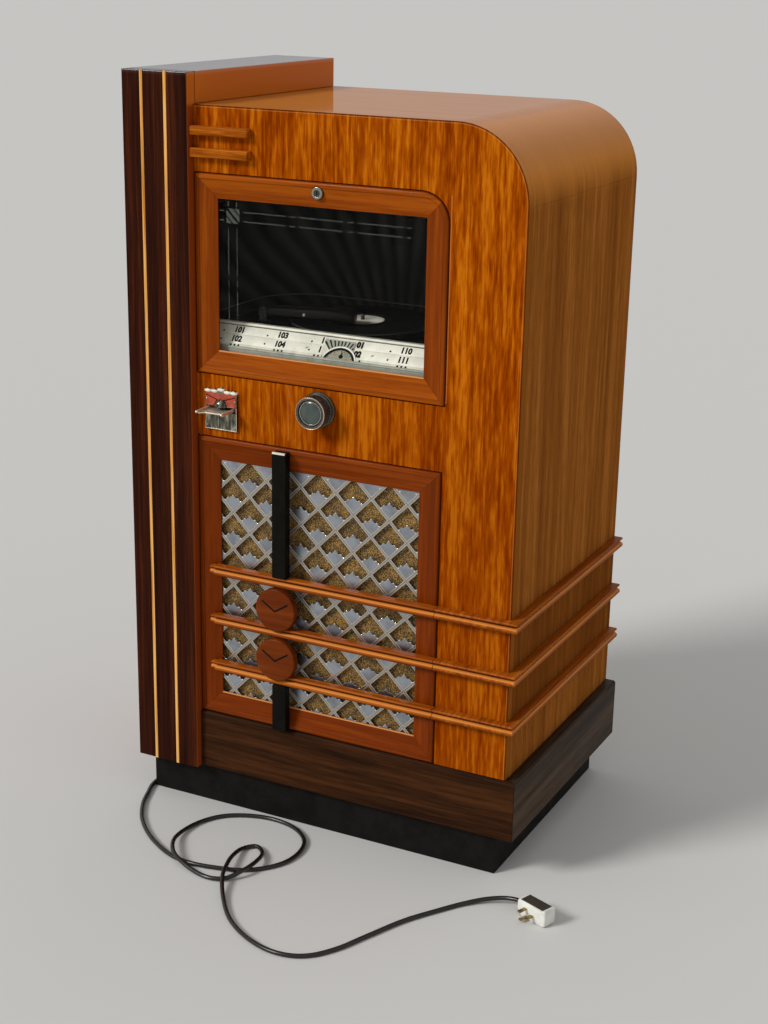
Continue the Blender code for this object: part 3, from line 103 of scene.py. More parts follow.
class Wire:
    """A shader value. Arithmetic on it adds Math nodes to its graph."""

    def __init__(self, graph: "Graph", socket: bpy.types.NodeSocket) -> None:
        """Wrap one output socket of a graph."""
        self.graph = graph
        self.socket = socket

    def __add__(self, other: "Value") -> "Wire":
        """Sum."""
        return self.graph.math("ADD", self, other)

    def __sub__(self, other: "Value") -> "Wire":
        """Difference."""
        return self.graph.math("SUBTRACT", self, other)

    def __rsub__(self, other: "Value") -> "Wire":
        """Difference from a number."""
        return self.graph.math("SUBTRACT", other, self)

    def __mul__(self, other: "Value") -> "Wire":
        """Product."""
        return self.graph.math("MULTIPLY", self, other)

    def __truediv__(self, other: "Value") -> "Wire":
        """Quotient."""
        return self.graph.math("DIVIDE", self, other)

    def __abs__(self) -> "Wire":
        """Size without sign."""
        return self.graph.math("ABSOLUTE", self)

    __radd__ = __add__
    __rmul__ = __mul__

    def rise(self, low: float, high: float) -> "Wire":
        """Smooth step: 0 below low, 1 above high."""
        limits = {0: self, 1: low, 2: high, 3: 0.0, 4: 1.0}
        return self.graph.node("ShaderNodeMapRange", {"interpolation_type": "SMOOTHSTEP"}, limits)

    def band(self, centre: float, half: float, soft: float = 0.0003) -> "Wire":
        """1 within half of centre, 0 outside, with a soft edge."""
        return 1 - abs(self - centre).rise(half, half + soft)


Value = Wire | float


class Graph:
    """A material's node tree round one Principled shader."""

    def __init__(self, name: str, constants: dict[str, object]) -> None:
        """Make the material.

        Args:
            name: The material's name.
            constants: Values for the shader's own sockets, by socket name.
        """
        self.material = bpy.data.materials.new(name)
        self.material.use_nodes = True
        self.tree = self.material.node_tree
        self.shader = self.tree.nodes["Principled BSDF"]
        for socket, value in constants.items():
            self.shader.inputs[socket].default_value = value

    def node(
        self,
        kind: str,
        settings: dict[str, object] | None = None,
        inputs: dict[int | str, object] | None = None,
        output: int | str = 0,
    ) -> Wire:
        """Add a node.

        Args:
            kind: The node's type.
            settings: Its properties, set first; "stops" fills a colour ramp.
            inputs: Numbers, tuples or wires for its sockets, by index or name.
            output: The output that is handed back.

        Returns:
            The chosen output as a wire.
        """
        made = self.tree.nodes.new(kind)
        for key, value in (settings or {}).items():
            if key == "stops":
                stops = list(value)
                elements = made.color_ramp.elements
                for element, (place, colour) in zip(elements, (stops[0], stops[-1])):
                    element.position, element.color = place, linear(colour)
                for place, colour in stops[1:-1]:
                    elements.new(place).color = linear(colour)
            else:
                setattr(made, key, value)
        for socket, value in (inputs or {}).items():
            self.join(value, made.inputs[socket])
        return Wire(self, made.outputs[output])

    def join(self, value: object, socket: bpy.types.NodeSocket) -> None:
        """Link a wire to a socket, or set the socket's own value."""
        if isinstance(value, Wire):
            self.tree.links.new(value.socket, socket)
        else:
            socket.default_value = value

    def feed(self, **values: object) -> None:
        """Join values to the shader's sockets; underscores stand for spaces in the sockets' names."""
        for name, value in values.items():
            self.join(value, self.shader.inputs[name.replace("_", " ")])

    def math(self, operation: str, *values: Value) -> Wire:
        """A Math node on wires or numbers."""
        return self.node("ShaderNodeMath", {"operation": operation}, dict(enumerate(values)))

    def axes(self) -> tuple[Wire, Wire, Wire]:
        """The object coordinates x, y and z."""
        place = self.node("ShaderNodeTexCoord", output="Object")
        split = self.node("ShaderNodeSeparateXYZ", inputs={0: place})
        outputs = split.socket.node.outputs
        return Wire(self, outputs[0]), Wire(self, outputs[1]), Wire(self, outputs[2])

    def vector(self, x: Value, y: Value, z: Value) -> Wire:
        """Three values as one vector."""
        return self.node("ShaderNodeCombineXYZ", inputs={0: x, 1: y, 2: z})

    def noise(self, vector: Wire, scale: float = 1.0, detail: float = 2.0, rough: float = 0.5) -> Wire:
        """Perlin noise round 0.5."""
        inputs = {"Vector": vector, "Scale": scale, "Detail": detail, "Roughness": rough}
        return self.node("ShaderNodeTexNoise", inputs=inputs)

    def hypot(self, first: Wire, second: Wire) -> Wire:
        """Length of the vector with these two parts."""
        return self.math("SQRT", first * first + second * second)

    def ramp(self, factor: Wire, *stops: tuple[float, Colour]) -> Wire:
        """A colour ramp."""
        return self.node("ShaderNodeValToRGB", {"stops": stops}, {0: factor})

    def mix(self, factor: Value, first: object, second: object) -> Wire:
        """Blend from the first colour to the second."""
        one, two = (c if isinstance(c, Wire) else linear(c) for c in (first, second))
        return self.node("ShaderNodeMix", {"data_type": "RGBA"}, {0: factor, 6: one, 7: two}, output=2)

    def relief(self, height: Wire, depth: float) -> Wire:
        """A bump normal; height 0 to 1 stands for depth metres."""
        return self.node("ShaderNodeBump", inputs={"Strength": 1.0, "Distance": depth, "Height": height})


# ---------------------------------------------------------------- finishes


@dataclass(frozen=True)
class Finish:
    """A surface finish, and the record's slot that it fills."""

    name: str
    slot: str

    def material(self) -> bpy.types.Material:
        """The finish's material, made once."""
        known = bpy.data.materials.get(self.name)
        return known or self.build()

    def build(self) -> bpy.types.Material:
        """Make the material."""
        raise NotImplementedError


class Grain(Enum):
    """Which way the fibres of a wooden piece run."""

    UP = "z"
    ACROSS = "x"
    DEPTH = "y"


@dataclass(frozen=True)
class Wood(Finish):
    """Polished wood: long streaks, fine fibres, dark pores and, in ribbon veneers, a broken cross figure.

    The tone is 0.5 plus weighted noises stretched along the fibres, read through a ramp of three colours.
    """

    dark: Colour = (60, 30, 10)
    middle: Colour = (120, 60, 20)
    light: Colour = (180, 100, 40)
    grain: Grain = Grain.UP
    streaks: float = 70.0
    stretch: float = 0.05
    contrast: float = 1.5
    ribbon: float = 0.0
    roughness: float = 0.34
    coat: float = 0.02
    gloss: float = 0.05

    def tint(self, graph: Graph, x: Wire, y: Wire, z: Wire, colour: Wire) -> Wire:
        """The colour after changes that belong to one place, such as a pale edge."""
        return colour

    def lustre(self, graph: Graph, x: Wire, y: Wire, z: Wire) -> Value:
        """Weight of the polish."""
        return self.coat

    def build(self) -> bpy.types.Material:
        """Make the wood."""
        graph = Graph(self.name, {"Coat Roughness": 0.10, "Specular IOR Level": self.gloss})
        x, y, z = graph.axes()
        tone, fibre = self.figure(graph, x, y, z)
        colour = graph.ramp(tone, (0.20, self.dark), (0.50, self.middle), (0.80, self.light))
        graph.feed(
            Base_Color=self.tint(graph, x, y, z, colour),
            Roughness=self.roughness + (fibre - 0.5) * 0.12,
            Coat_Weight=self.lustre(graph, x, y, z),
            Normal=graph.relief(fibre, 0.00005),
        )
        return graph.material

    def figure(self, graph: Graph, x: Wire, y: Wire, z: Wire) -> tuple[Wire, Wire]:
        """Tone and fibre of the wood where its fibres run one way."""
        order = {Grain.UP: (z, x, y), Grain.ACROSS: (x, z, y), Grain.DEPTH: (y, x, z)}[self.grain]
        return self.tone(graph, *order)

    def tone(self, graph: Graph, along: Wire, across: Wire, through: Wire) -> tuple[Wire, Wire]:
        """Lightness over the wood.

        Args:
            graph: The material's graph.
            along: Place along the fibres.
            across: Place across them on the face.
            through: Place across them into the wood.

        Returns:
            The tone round 0.5, and the fine fibre noise.
        """
        sway = graph.noise(graph.vector(along * 2.6, across * 6.0, through * 6.0), detail=1.0) - 0.5
        bent = across + sway * 0.012
        s = self.streaks
        fibres = graph.vector(along * (s * self.stretch), bent * s, through * s)
        streak = graph.noise(fibres, 1.0, 3.0, 0.55)
        fibre = graph.noise(fibres, 4.6, 2.0)
        broad = graph.noise(fibres, 0.23, 1.0)
        pores = graph.noise(graph.vector(along * 14.0, bent * 520.0, through * 520.0), 1.0, 1.0).rise(0.62, 0.72)
        tone = (streak - 0.5) * self.contrast + (fibre - 0.5) * (0.45 * self.contrast)
        tone = tone + (broad - 0.5) * (0.6 * self.contrast) + 0.5 - pores * 0.10
        if self.ribbon:
            blot = graph.noise(graph.vector(along * 30.0, bent * 150.0, through * 150.0), 1.0, 2.0)
            tone = tone + (blot - 0.5) * self.ribbon
        return tone, fibre


def past_corner(graph: Graph, x: Wire, z: Wire) -> tuple[Wire, Wire]:
    """How far a place lies right of and above the rounded corner's centre, 0 where it doesn't."""
    return graph.math("MAXIMUM", x - wide(BEND_X), 0.0), graph.math("MAXIMUM", z - BEND_Z, 0.0)


def painted_top_light(z: Wire) -> Wire:
    """Painted light: how much lighter the shell is painted where light falls from above, more up the bend and a little
    less on the flat top.
    """
    return z.rise(1.13, 1.20) * 0.8 - z.rise(1.262, 1.2675) * 0.3


def top_polish(z: Wire) -> Wire:
    """Weight of the shell's polish, which rises round the bend from nothing to the flat top's."""
    return z.rise(1.170, 1.264) * 0.55


# Colour of the painted light toward the shell's top.
TOP_LIGHT_PAINT = (212, 136, 62)


@dataclass(frozen=True)
class FaceVeneer(Wood):
    """The front board's veneer, painted darker toward the bottom as painted shade, with a fine pale line of painted
    highlight and a dark line round the corner, and pale glue seams.
    """

    def tint(self, graph: Graph, x: Wire, y: Wire, z: Wire, colour: Wire) -> Wire:
        """Add the painted shade low down, the lines at fixed distances from the corner's centre, the seams and the
        wrapped outer edge.

        Args:
            graph: The material's graph.
            x: Place across.
            y: Place into the cabinet.
            z: Height.
            colour: The wood's colour so far.

        Returns:
            The colour with them.
        """
        out = graph.hypot(*past_corner(graph, x, z))
        # Painted shade: the veneer darkens toward the bottom, where the light falls off.
        colour = graph.mix((1 - z.rise(0.62, 0.95)) * 0.26, colour, (104, 34, 2))
        seam = x.band(wide(0.3079), 0.0004) * z.band(0.770, 0.048)
        seam = seam + x.band(wide(0.5990), 0.0007) * z.band(0.99, 0.165)
        colour = graph.mix(seam * 0.30, colour, (226, 150, 92))
        # Painted highlight: a fine pale line round the corner, where the edge catches light.
        colour = graph.mix(out.band(0.1200, 0.0006, 0.0004) * 0.20, colour, (232, 158, 84))
        colour = graph.mix(out.rise(0.1206, 0.1213) * 0.70, colour, (66, 28, 6))
        # Painted light: the wrapped outer edge is painted lighter toward the top.
        wrapped = graph.mix(painted_top_light(z), (144, 84, 30), TOP_LIGHT_PAINT)
        return graph.mix(self.rim(graph, x, y, z), colour, wrapped)

    def rim(self, graph: Graph, x: Wire, y: Wire, z: Wire) -> Wire:
        """1 on the board's outer edge, over which the shell's veneer runs on."""
        out = graph.hypot(*past_corner(graph, x, z))
        return y.rise(deep(0.0186), deep(0.0190)) * out.rise(0.1222, 0.1226)

    def lustre(self, graph: Graph, x: Wire, y: Wire, z: Wire) -> Value:
        """The top of the outer edge is polished like the shell."""
        return self.rim(graph, x, y, z) * top_polish(z) + self.coat


@dataclass(frozen=True)
class WrappedWalnut(Wood):
    """Veneer that runs over the top, round the bend and down the side; the polish is kept toward the top."""

    def figure(self, graph: Graph, x: Wire, y: Wire, z: Wire) -> tuple[Wire, Wire]:
        """Tone and fibre along the line over the top and round the bend: x, plus angle times radius, less z.

        Args:
            graph: The material's graph.
            x: Place across.
            y: Place into the cabinet.
            z: Height.

        Returns:
            The tone round 0.5, and the fine fibre noise.
        """
        turn = graph.math("ARCTAN2", *past_corner(graph, x, z))
        across, down = graph.math("MINIMUM", x, wide(BEND_X)), graph.math("MINIMUM", z, BEND_Z)
        return self.tone(graph, across + turn * BEND_RADIUS - down, y, y * 0.31)

    def tint(self, graph: Graph, x: Wire, y: Wire, z: Wire, colour: Wire) -> Wire:
        """Darker between the rails, and painted lighter toward the top, where light falls from above."""
        colour = graph.mix(z.band(0.3775, 0.098, 0.004) * 0.45, colour, (84, 36, 8))
        return graph.mix(painted_top_light(z), colour, TOP_LIGHT_PAINT)

    def lustre(self, graph: Graph, x: Wire, y: Wire, z: Wire) -> Value:
        """Rises round the bend, from satin on the side to full polish on the top."""
        return top_polish(z) + self.coat


@dataclass(frozen=True)
class FrameWood(Wood):
    """A mitred door frame: the fibres turn at each corner, with painted shade at the outer edge and in the groove by
    the bead.

    Attributes:
        mitre: Centre (x, z) and half size (x, z) of the frame.
        corner: Radius of its upper right outer corner.
        sill_highlight: Height of the painted highlight line on the bead at the foot of the opening.
        lift: How much lighter the rails are painted than the stiles, as painted light for the bottom rail's upward
            slope.
    """

    mitre: tuple[float, float, float, float] = (0.0, 0.0, 0.0, 0.0)
    corner: float = 0.0
    sill_highlight: float = 0.0
    lift: float = 0.0

    def figure(self, graph: Graph, x: Wire, y: Wire, z: Wire) -> tuple[Wire, Wire]:
        """Upright fibres on the stiles and lying fibres on the rails, with a fine dark line at each mitre.

        Args:
            graph: The material's graph.
            x: Place across.
            y: Place into the cabinet.
            z: Height.

        Returns:
            The tone round 0.5, and the fine fibre noise.
        """
        centre_x, centre_z, half_x, half_z = self.mitre
        lean = (abs(z - centre_z) - half_z) - (abs(x - centre_x) - half_x)
        level = lean.rise(-0.0001, 0.0001)
        upright, fibre_a = self.tone(graph, z, x, y)
        lying, fibre_b = self.tone(graph, x, z, y)
        # Painted light: lift makes the rails lighter than the stiles.
        tone = upright + (lying - upright + self.lift) * level - lean.band(0.0, 0.0003, 0.0004) * 0.35
        return tone, fibre_a + (fibre_b - fibre_a) * level

    def tint(self, graph: Graph, x: Wire, y: Wire, z: Wire, colour: Wire) -> Wire:
        """Painted shade by the distance in from the outer edge, and the painted highlight line.

        The distance is R - |max(q, 0)| - min(max(q), 0), with q the place past the corner's centre across and up,
        and R the corner's radius, which is 0 outside the top right quarter.

        Args:
            graph: The material's graph.
            x: Place across.
            y: Place into the cabinet; not used here.
            z: Height.
            colour: The wood's colour so far.

        Returns:
            The colour with them.
        """
        centre_x, centre_z, half_x, half_z = self.mitre
        radius = x.rise(centre_x, centre_x + 0.001) * z.rise(centre_z, centre_z + 0.001) * self.corner
        across = abs(x - centre_x) - half_x + radius
        along = abs(z - centre_z) - half_z + radius
        out_x, out_z = graph.math("MAXIMUM", across, 0.0), graph.math("MAXIMUM", along, 0.0)
        inside = graph.math("MINIMUM", graph.math("MAXIMUM", across, along), 0.0)
        edge = radius - graph.hypot(out_x, out_z) - inside
        # Painted shade: darker at the rounded outer edge, and a dark line in the groove by the bead.
        painted_shade = (1 - edge.rise(0.0006, 0.0030)) * 0.75 + edge.band(0.0093, 0.0004, 0.0005) * 0.45
        colour = graph.mix(graph.math("MINIMUM", painted_shade, 1.0), colour, (70, 22, 1))
        within = 1 - abs(x - centre_x).rise(half_x - 0.042, half_x - 0.040)
        # Painted highlight: a pale line along the foot of the opening.
        return graph.mix(z.band(self.sill_highlight, 0.0008, 0.0005) * within * 0.6, colour, (240, 168, 104))


@dataclass(frozen=True)
class RailWood(Wood):
    """A beaded rail: painted shade lies in the cove between its beads and under it, and a painted highlight runs along
    the lower bead.

    Attributes:
        bottoms: Height of each rail's underside.
    """

    bottoms: tuple[float, float, float] = (0.4585, 0.3657, 0.2766)

    def tint(self, graph: Graph, x: Wire, y: Wire, z: Wire, colour: Wire) -> Wire:
        """Add the painted shade in the cove and under the rail, then the painted highlight line.

        Args:
            graph: The material's graph.
            x: Place across; not used here.
            y: Place into the cabinet; not used here.
            z: Height.
            colour: The wood's colour so far.

        Returns:
            The colour with them.
        """
        # Painted shade in the cove between the beads.
        colour = graph.mix(self.lines(z, 0.0118, 0.0015, 0.0008) * 0.72, colour, (56, 20, 2))
        # Painted shade along the rail's underside.
        colour = graph.mix(self.lines(z, 0.0005, 0.0030, 0.0020) * 0.45, colour, (70, 26, 2))
        # Painted highlight along the top of the lower bead.
        return graph.mix(self.lines(z, 0.0087, 0.0009, 0.0008) * 0.60, colour, (236, 150, 66))

    def lines(self, z: Wire, height: float, half: float, soft: float) -> Wire:
        """A line along each of the three rails.

        Args:
            z: Height over the floor.
            height: Height of the line over its rail's bottom.
            half: Half its width.
            soft: Width of its soft edge.

        Returns:
            1 on the lines, 0 elsewhere.
        """
        upper, middle, lower = ((z - bottom).band(height, half, soft) for bottom in self.bottoms)
        return upper + middle + lower


@dataclass(frozen=True)
class PillarWood(Wood):
    """The pillar's dark veneer, with the lighter solid wood that shows on the right edge of its boards."""

    cheek: Colour = (150, 66, 22)

    def tint(self, graph: Graph, x: Wire, y: Wire, z: Wire, colour: Wire) -> Wire:
        """The right face is bare wood, painted lighter above the body's top where it stands out in the light, behind a
        fine pale arris.

        Args:
            graph: The material's graph.
            x: Place across.
            y: Place into the cabinet; not used here.
            z: Height.
            colour: The wood's colour so far.

        Returns:
            The colour with them.
        """
        # Painted light: the right face is lighter above the body's top, where it is exposed and lit.
        cheek = graph.mix(z.rise(1.262, 1.272) * 0.8, self.cheek, (204, 108, 22))
        colour = graph.mix(x.rise(wide(0.1272), wide(0.1278)), colour, cheek)
        return graph.mix(x.band(wide(0.1271), 0.0003, 0.0003) * 0.4, colour, (176, 96, 48))

    def lustre(self, graph: Graph, x: Wire, y: Wire, z: Wire) -> Value:
        """The crown's top is polished; the faces are satin."""
        return z.rise(1.312, 1.319) * 0.62 + self.coat


@dataclass(frozen=True)
class Metal(Finish):
    """Bare or plated metal with a little tarnish, and scratches finer than a millimetre in its gloss."""

    colour: Colour = (190, 190, 188)
    roughness: float = 0.2
    tarnish: float = 0.25

    def build(self) -> bpy.types.Material:
        """Make the metal."""
        graph = Graph(self.name, {"Metallic": 1.0})
        x, y, z = graph.axes()
        place = graph.vector(x, y, z)
        cloud = graph.noise(place, 24.0, 3.0, 0.6).rise(0.40, 0.72)
        fine = graph.noise(place, 700.0, 2.0)
        graph.feed(
            Base_Color=graph.mix(cloud * self.tarnish, self.colour, self.dull()),
            Roughness=self.roughness + cloud * 0.12 + (fine - 0.5) * 0.10,
            Normal=graph.relief(fine, 0.00002),
        )
        return graph.material

    def dull(self) -> Colour:
        """The colour under full tarnish."""
        return tuple(int(c * 0.55) for c in self.colour)


@dataclass(frozen=True)
class Moulded(Finish):
    """Enamel, plastic, rubber, card or paint: an even colour with mottling and a fine skin."""

    colour: Colour = (20, 20, 20)
    roughness: float = 0.4
    mottle: float = 0.2
    cells: float = 40.0
    skin: float = 0.00003
    coat: float = 0.0
    gloss: float = 0.5

    def build(self) -> bpy.types.Material:
        """Make the finish."""
        constants = {"Coat Weight": self.coat, "Coat Roughness": 0.08, "Specular IOR Level": self.gloss}
        graph = Graph(self.name, constants)
        x, y, z = graph.axes()
        place = graph.vector(x, y, z)
        cloud = graph.noise(place, self.cells, 3.0, 0.6).rise(0.35, 0.70)
        fine = graph.noise(place, 1100.0, 2.0)
        shade = tuple(int(c * (1 - self.mottle)) for c in self.colour)
        graph.feed(
            Base_Color=graph.mix(cloud, self.colour, shade),
            Roughness=self.roughness + (cloud - 0.5) * 0.10 + (fine - 0.5) * 0.06,
            Normal=graph.relief(fine, self.skin),
        )
        return graph.material


@dataclass(frozen=True)
class GoldCloth(Finish):
    """Loudspeaker cloth: brown and gold threads that cross, with bright flecks of metal thread."""

    thread: float = 0.0011

    def build(self) -> bpy.types.Material:
        """Make the cloth."""
        graph = Graph(self.name, {"Sheen Weight": 0.15})
        x, y, z = graph.axes()
        place = graph.vector(x, y, z)
        warp, weft = (graph.math("SINE", axis * (2 * math.pi / self.thread)) * 0.5 + 0.5 for axis in (x, z))
        weave = graph.math("MAXIMUM", warp, weft)
        fleck = graph.noise(place, 560.0, 2.0, 0.8)
        cloud = graph.noise(place, 60.0, 2.0)
        tone = fleck + (cloud - 0.5) * 0.15 + (weave - 0.6) * 0.12
        graph.feed(
            Base_Color=graph.ramp(tone, (0.41, (14, 9, 2)), (0.51, (66, 43, 11)), (0.64, (200, 152, 58))),
            Roughness=0.62 - fleck.rise(0.50, 0.64) * 0.28,
            Metallic=fleck.rise(0.52, 0.64) * 0.50,
            Normal=graph.relief(weave + fleck, 0.00015),
        )
        return graph.material


@dataclass(frozen=True)
class EtchedGlass(Finish):
    """Clear plate glass with etched lines and one corner square cut by three slanting gaps.

    Etching is a sum of bands: each line is a band across it times the stretches along it that are not gaps.

    Attributes:
        lines: Heights of the two level lines.
        uprights: The two upright lines' places across.
        corner: The square's middle, across and up.
        slant: Distance between its gaps, as a change in across plus up.
    """

    lines: tuple[float, float] = (1.0975, 1.0820)
    uprights: tuple[float, float] = (0.1890, 0.2055)
    corner: tuple[float, float] = (0.1978, 1.0896)
    slant: float = 0.0130

    def build(self) -> bpy.types.Material:
        """Make the glass."""
        graph = Graph(self.name, {"Specular IOR Level": 0.5, "IOR": 1.5})
        x, y, z = graph.axes()
        etched = graph.math("MINIMUM", self.etching(x - LEFT, z), 1.0)
        gloss = graph.node("ShaderNodeFresnel", inputs={"IOR": 1.45})
        front = 1 - y.rise(deep(0.0280), deep(0.0286))
        graph.feed(
            Base_Color=graph.mix(etched, (240, 244, 240), (165, 170, 155)),
            Metallic=1 - etched,
            Alpha=graph.math("MINIMUM", (gloss * 0.10 + etched * 0.18) * front + 0.002, 1.0),
            Roughness=0.03 + etched * 0.5,
        )
        return graph.material

    def etching(self, x: Wire, z: Wire) -> Wire:
        """Where the glass is etched.

        Args:
            x: Place to the right of the pillar's left face.
            z: Height over the floor.

        Returns:
            1 or more on the lines, their stubs at the corner and the square; 0 elsewhere.
        """
        level = self.across(z, self.lines, 0.0005)
        upright = self.across(x, self.uprights, 0.0004)
        down = 1.0705 - z
        lines = self.run(x, 0.217, 0.527) * level + self.run(down + 0.217, 0.217, 0.402) * upright
        stubs = z.band(1.1090, 0.0035) * self.across(x, self.uprights, 0.0008)
        stubs = stubs + x.band(0.1760, 0.0040) * self.across(z, self.lines, 0.0008)
        u, v = x - self.corner[0], z - self.corner[1]
        gaps = (u + v).band(0.0, 0.0024) + (u + v).band(self.slant, 0.0013) + (u + v).band(-self.slant, 0.0013)
        return lines + stubs + u.band(0.0, 0.0125) * v.band(0.0, 0.0120) * (1 - gaps)

    def across(self, place: Wire, pair: tuple[float, float], half: float) -> Wire:
        """1 within half of either place of a pair of lines."""
        return place.band(pair[0], half) + place.band(pair[1], half)

    def run(self, place: Wire, low: float, high: float) -> Wire:
        """A dashed line of long and short strokes: 81 mm, a 7 mm gap, 12 mm, and a 7 mm gap.

        Args:
            place: Place along the line.
            low: Where the line starts.
            high: Where it ends.

        Returns:
            1 on the strokes, 0 elsewhere.
        """
        turn = place.graph.math("FRACT", (place - low) / 0.107) * 0.107
        stroke = turn.band(0.0405, 0.0400) + turn.band(0.0940, 0.0055)
        return stroke * place.band((low + high) / 2, (high - low) / 2)


@dataclass(frozen=True)
class RecordBlack(Finish):
    """Pressed record surface: rings of grooves that shine in bands round the spindle, and a painted highlight on its
    rounded edge.
    """

    groove: float = 0.0006
    # Radius where the painted highlight on the rim begins.
    edge: float = 0.1252

    def build(self) -> bpy.types.Material:
        """Make the record's black."""
        graph = Graph(self.name, {"Specular IOR Level": 0.14})
        x, y, _ = graph.axes()
        radius = graph.hypot(x - wide(SPINDLE[0]), y - deep(SPINDLE[1]))
        ring = graph.noise(graph.vector(radius * 900.0, 0.0, 0.0), 1.0, 2.0)
        band = graph.noise(graph.vector(radius * 150.0, 3.0, 0.0), 1.0, 1.0)
        groove = graph.math("SINE", radius * (2 * math.pi / self.groove)) * 0.5 + 0.5
        black = graph.mix(band, (8, 8, 9), (11, 11, 11))
        # Painted highlight: the pale rim stands in for light on the record's rounded edge.
        graph.feed(
            Base_Color=graph.mix(radius.rise(self.edge, self.edge + 0.001), black, (66, 66, 62)),
            Roughness=0.24 + ring * 0.06 + band * 0.03,
            Normal=graph.relief(groove * 0.5 + ring, 0.000008),
        )
        return graph.material


@dataclass(frozen=True)
class FluteEnamel(Finish):
    """Black enamel on the backdrop's flutes, with painted light in grey along their crests low down, fading upward
    where the top shades them.

    The wall is laid flat: its place along is the clamped x plus, round a corner, the bend's radius times the
    angle and then the run forward. The crest is 0.5 + 0.5 cos(360 (a - phase) / step), a being the angle from
    upright round the fan's centre.
    """

    def build(self) -> bpy.types.Material:
        """Make the enamel."""
        graph = Graph(self.name, {"Specular IOR Level": 0.1})
        x, y, z = graph.axes()
        place = graph.vector(x, y, z)
        x, y = x - LEFT, y - FACE
        bend_start = WALL_REAR - WALL_BEND
        middle = graph.math("MINIMUM", graph.math("MAXIMUM", x, WALL_LEFT + WALL_BEND), WALL_RIGHT - WALL_BEND)
        out = x - middle
        turn = graph.math("ARCTAN2", out, graph.math("MAXIMUM", y - bend_start, 0.00001))
        ahead = graph.math("MAXIMUM", bend_start - y, 0.0)
        flat = middle + turn * WALL_BEND + graph.math("SIGN", out) * ahead
        angle = graph.math("ARCTAN2", FAN[0] - flat, z - FAN[1])
        crest = graph.math("COSINE", (angle - math.radians(FLUTE_PHASE)) * (360.0 / FLUTE_STEP)) * 0.5 + 0.5
        cloud = graph.noise(place, 9.0, 2.0)
        # Painted light: the crests are painted grey low down, where light reaches them.
        painted_crest_light = crest * (1 - z.rise(0.90, 1.20) * 0.75) * (cloud.rise(0.30, 0.60) * 0.6 + 0.4)
        graph.feed(Base_Color=graph.mix(painted_crest_light, (10, 10, 9), (66, 65, 57)), Roughness=0.46 + cloud * 0.1)
        return graph.material


@dataclass(frozen=True)
class StreakedChrome(Metal):
    """Plate with a painted reflection of an uneven room in its colour: upright streaks between pale and dark."""

    def build(self) -> bpy.types.Material:
        """Make the plate's metal."""
        graph = Graph(self.name, {"Metallic": 1.0})
        x, y, z = graph.axes()
        # Painted reflection: upright streaks in the metal's colour.
        streak = graph.noise(graph.vector(x * 210.0, 0.0, z * 34.0), 1.0, 3.0, 0.6)
        fine = graph.noise(graph.vector(x, y, z), 700.0, 2.0)
        graph.feed(
            Base_Color=graph.ramp(streak, (0.36, (58, 58, 47)), (0.54, (112, 109, 95)), (0.70, self.colour)),
            Roughness=self.roughness + fine * 0.08,
            Normal=graph.relief(fine, 0.00002),
        )
        return graph.material


@dataclass(frozen=True)
class LatticeNickel(Metal):
    """Plated lattice: each diagonal strip has a middle line of painted shade between two raised lines that carry a
    painted highlight, dull with tarnish.

    With u and v as places across and down in units of the lattice pitch, the strips lie where u + v or u - v is
    a whole number, so the distance of either from the nearest whole number is the place across a strip. The
    fractions of u + v and u - v, less a half, give the place from an opening's centre, where the tips glint.

    Attributes:
        pitch: Width and height of one opening.
        origin: A crossing of two strips.
        tips: Places of the peak's tips from the opening's centre: to either side, and down.
        strip: Colour of the strips.
    """

    pitch: tuple[float, float] = (0.0677, 0.0671)
    origin: tuple[float, float] = (wide(0.1933), 0.6409)
    tips: tuple[tuple[float, float], ...] = ((0.0, 0.0018), (0.0107, 0.0075), (0.0150, 0.0124))
    strip: Colour = (212, 204, 188)

    def build(self) -> bpy.types.Material:
        """Make the lattice's metal."""
        graph = Graph(self.name, {"Metallic": 1.0})
        x, y, z = graph.axes()
        u, v = (x - self.origin[0]) / self.pitch[0], (self.origin[1] - z) / self.pitch[1]
        near = graph.math("MINIMUM", *(abs(graph.math("FRACT", w + 20.5) - 0.5) for w in (u + v, u - v)))
        sunk_shade = 1 - near.rise(0.012, 0.024)
        ridge = near.band(0.040, 0.008, 0.014)
        place = graph.vector(x, y, z)
        cloud = graph.noise(place, 24.0, 3.0, 0.6).rise(0.38, 0.70)
        fine = graph.noise(place, 700.0, 2.0)
        glint = self.glint(graph, u, v) * graph.noise(place, 90.0, 1.0).rise(0.36, 0.50)
        glint = graph.math("MINIMUM", glint, 1.0)
        tone = graph.mix(cloud * self.tarnish, self.colour, self.dull())
        tone = graph.mix((1 - near.rise(0.060, 0.075)) * 0.7, tone, self.strip)
        # Painted shade on each strip's middle line, and painted highlight on the raised lines beside it.
        tone = graph.mix(ridge * 0.3, graph.mix(sunk_shade * 0.35, tone, (70, 66, 58)), (236, 232, 220))
        graph.feed(
            Base_Color=graph.mix(glint, tone, (255, 255, 250)),
            Roughness=self.roughness + cloud * 0.12 + (fine - 0.5) * 0.10 - glint * 0.2,
            Normal=graph.relief(ridge + fine * 0.04, 0.0005),
        )
        return graph.material

    def glint(self, graph: Graph, u: Wire, v: Wire) -> Wire:
        """Spots on the peaks' tips, the left half of each opening being its right half mirrored.

        Args:
            graph: The material's graph.
            u: Place across in pitches.
            v: Place down in pitches.

        Returns:
            The number of spots that cover a place.
        """
        one, two = (graph.math("FRACT", w + 20.0) - 0.5 for w in (u + v, u - v))
        side = abs((one + two) * (self.pitch[0] / 2))
        drop = (one - two) * (self.pitch[1] / 2)
        spots = [1 - graph.hypot(side - a, drop - b).rise(0.0008, 0.0016) for a, b in self.tips]
        return spots[0] + spots[1] + spots[2]


WINDOW_MITRE = (wide(0.363), 0.98875, 0.234, 0.16975)
GRILLE_MITRE = (wide(0.362), 0.44825, 0.233, 0.25975)

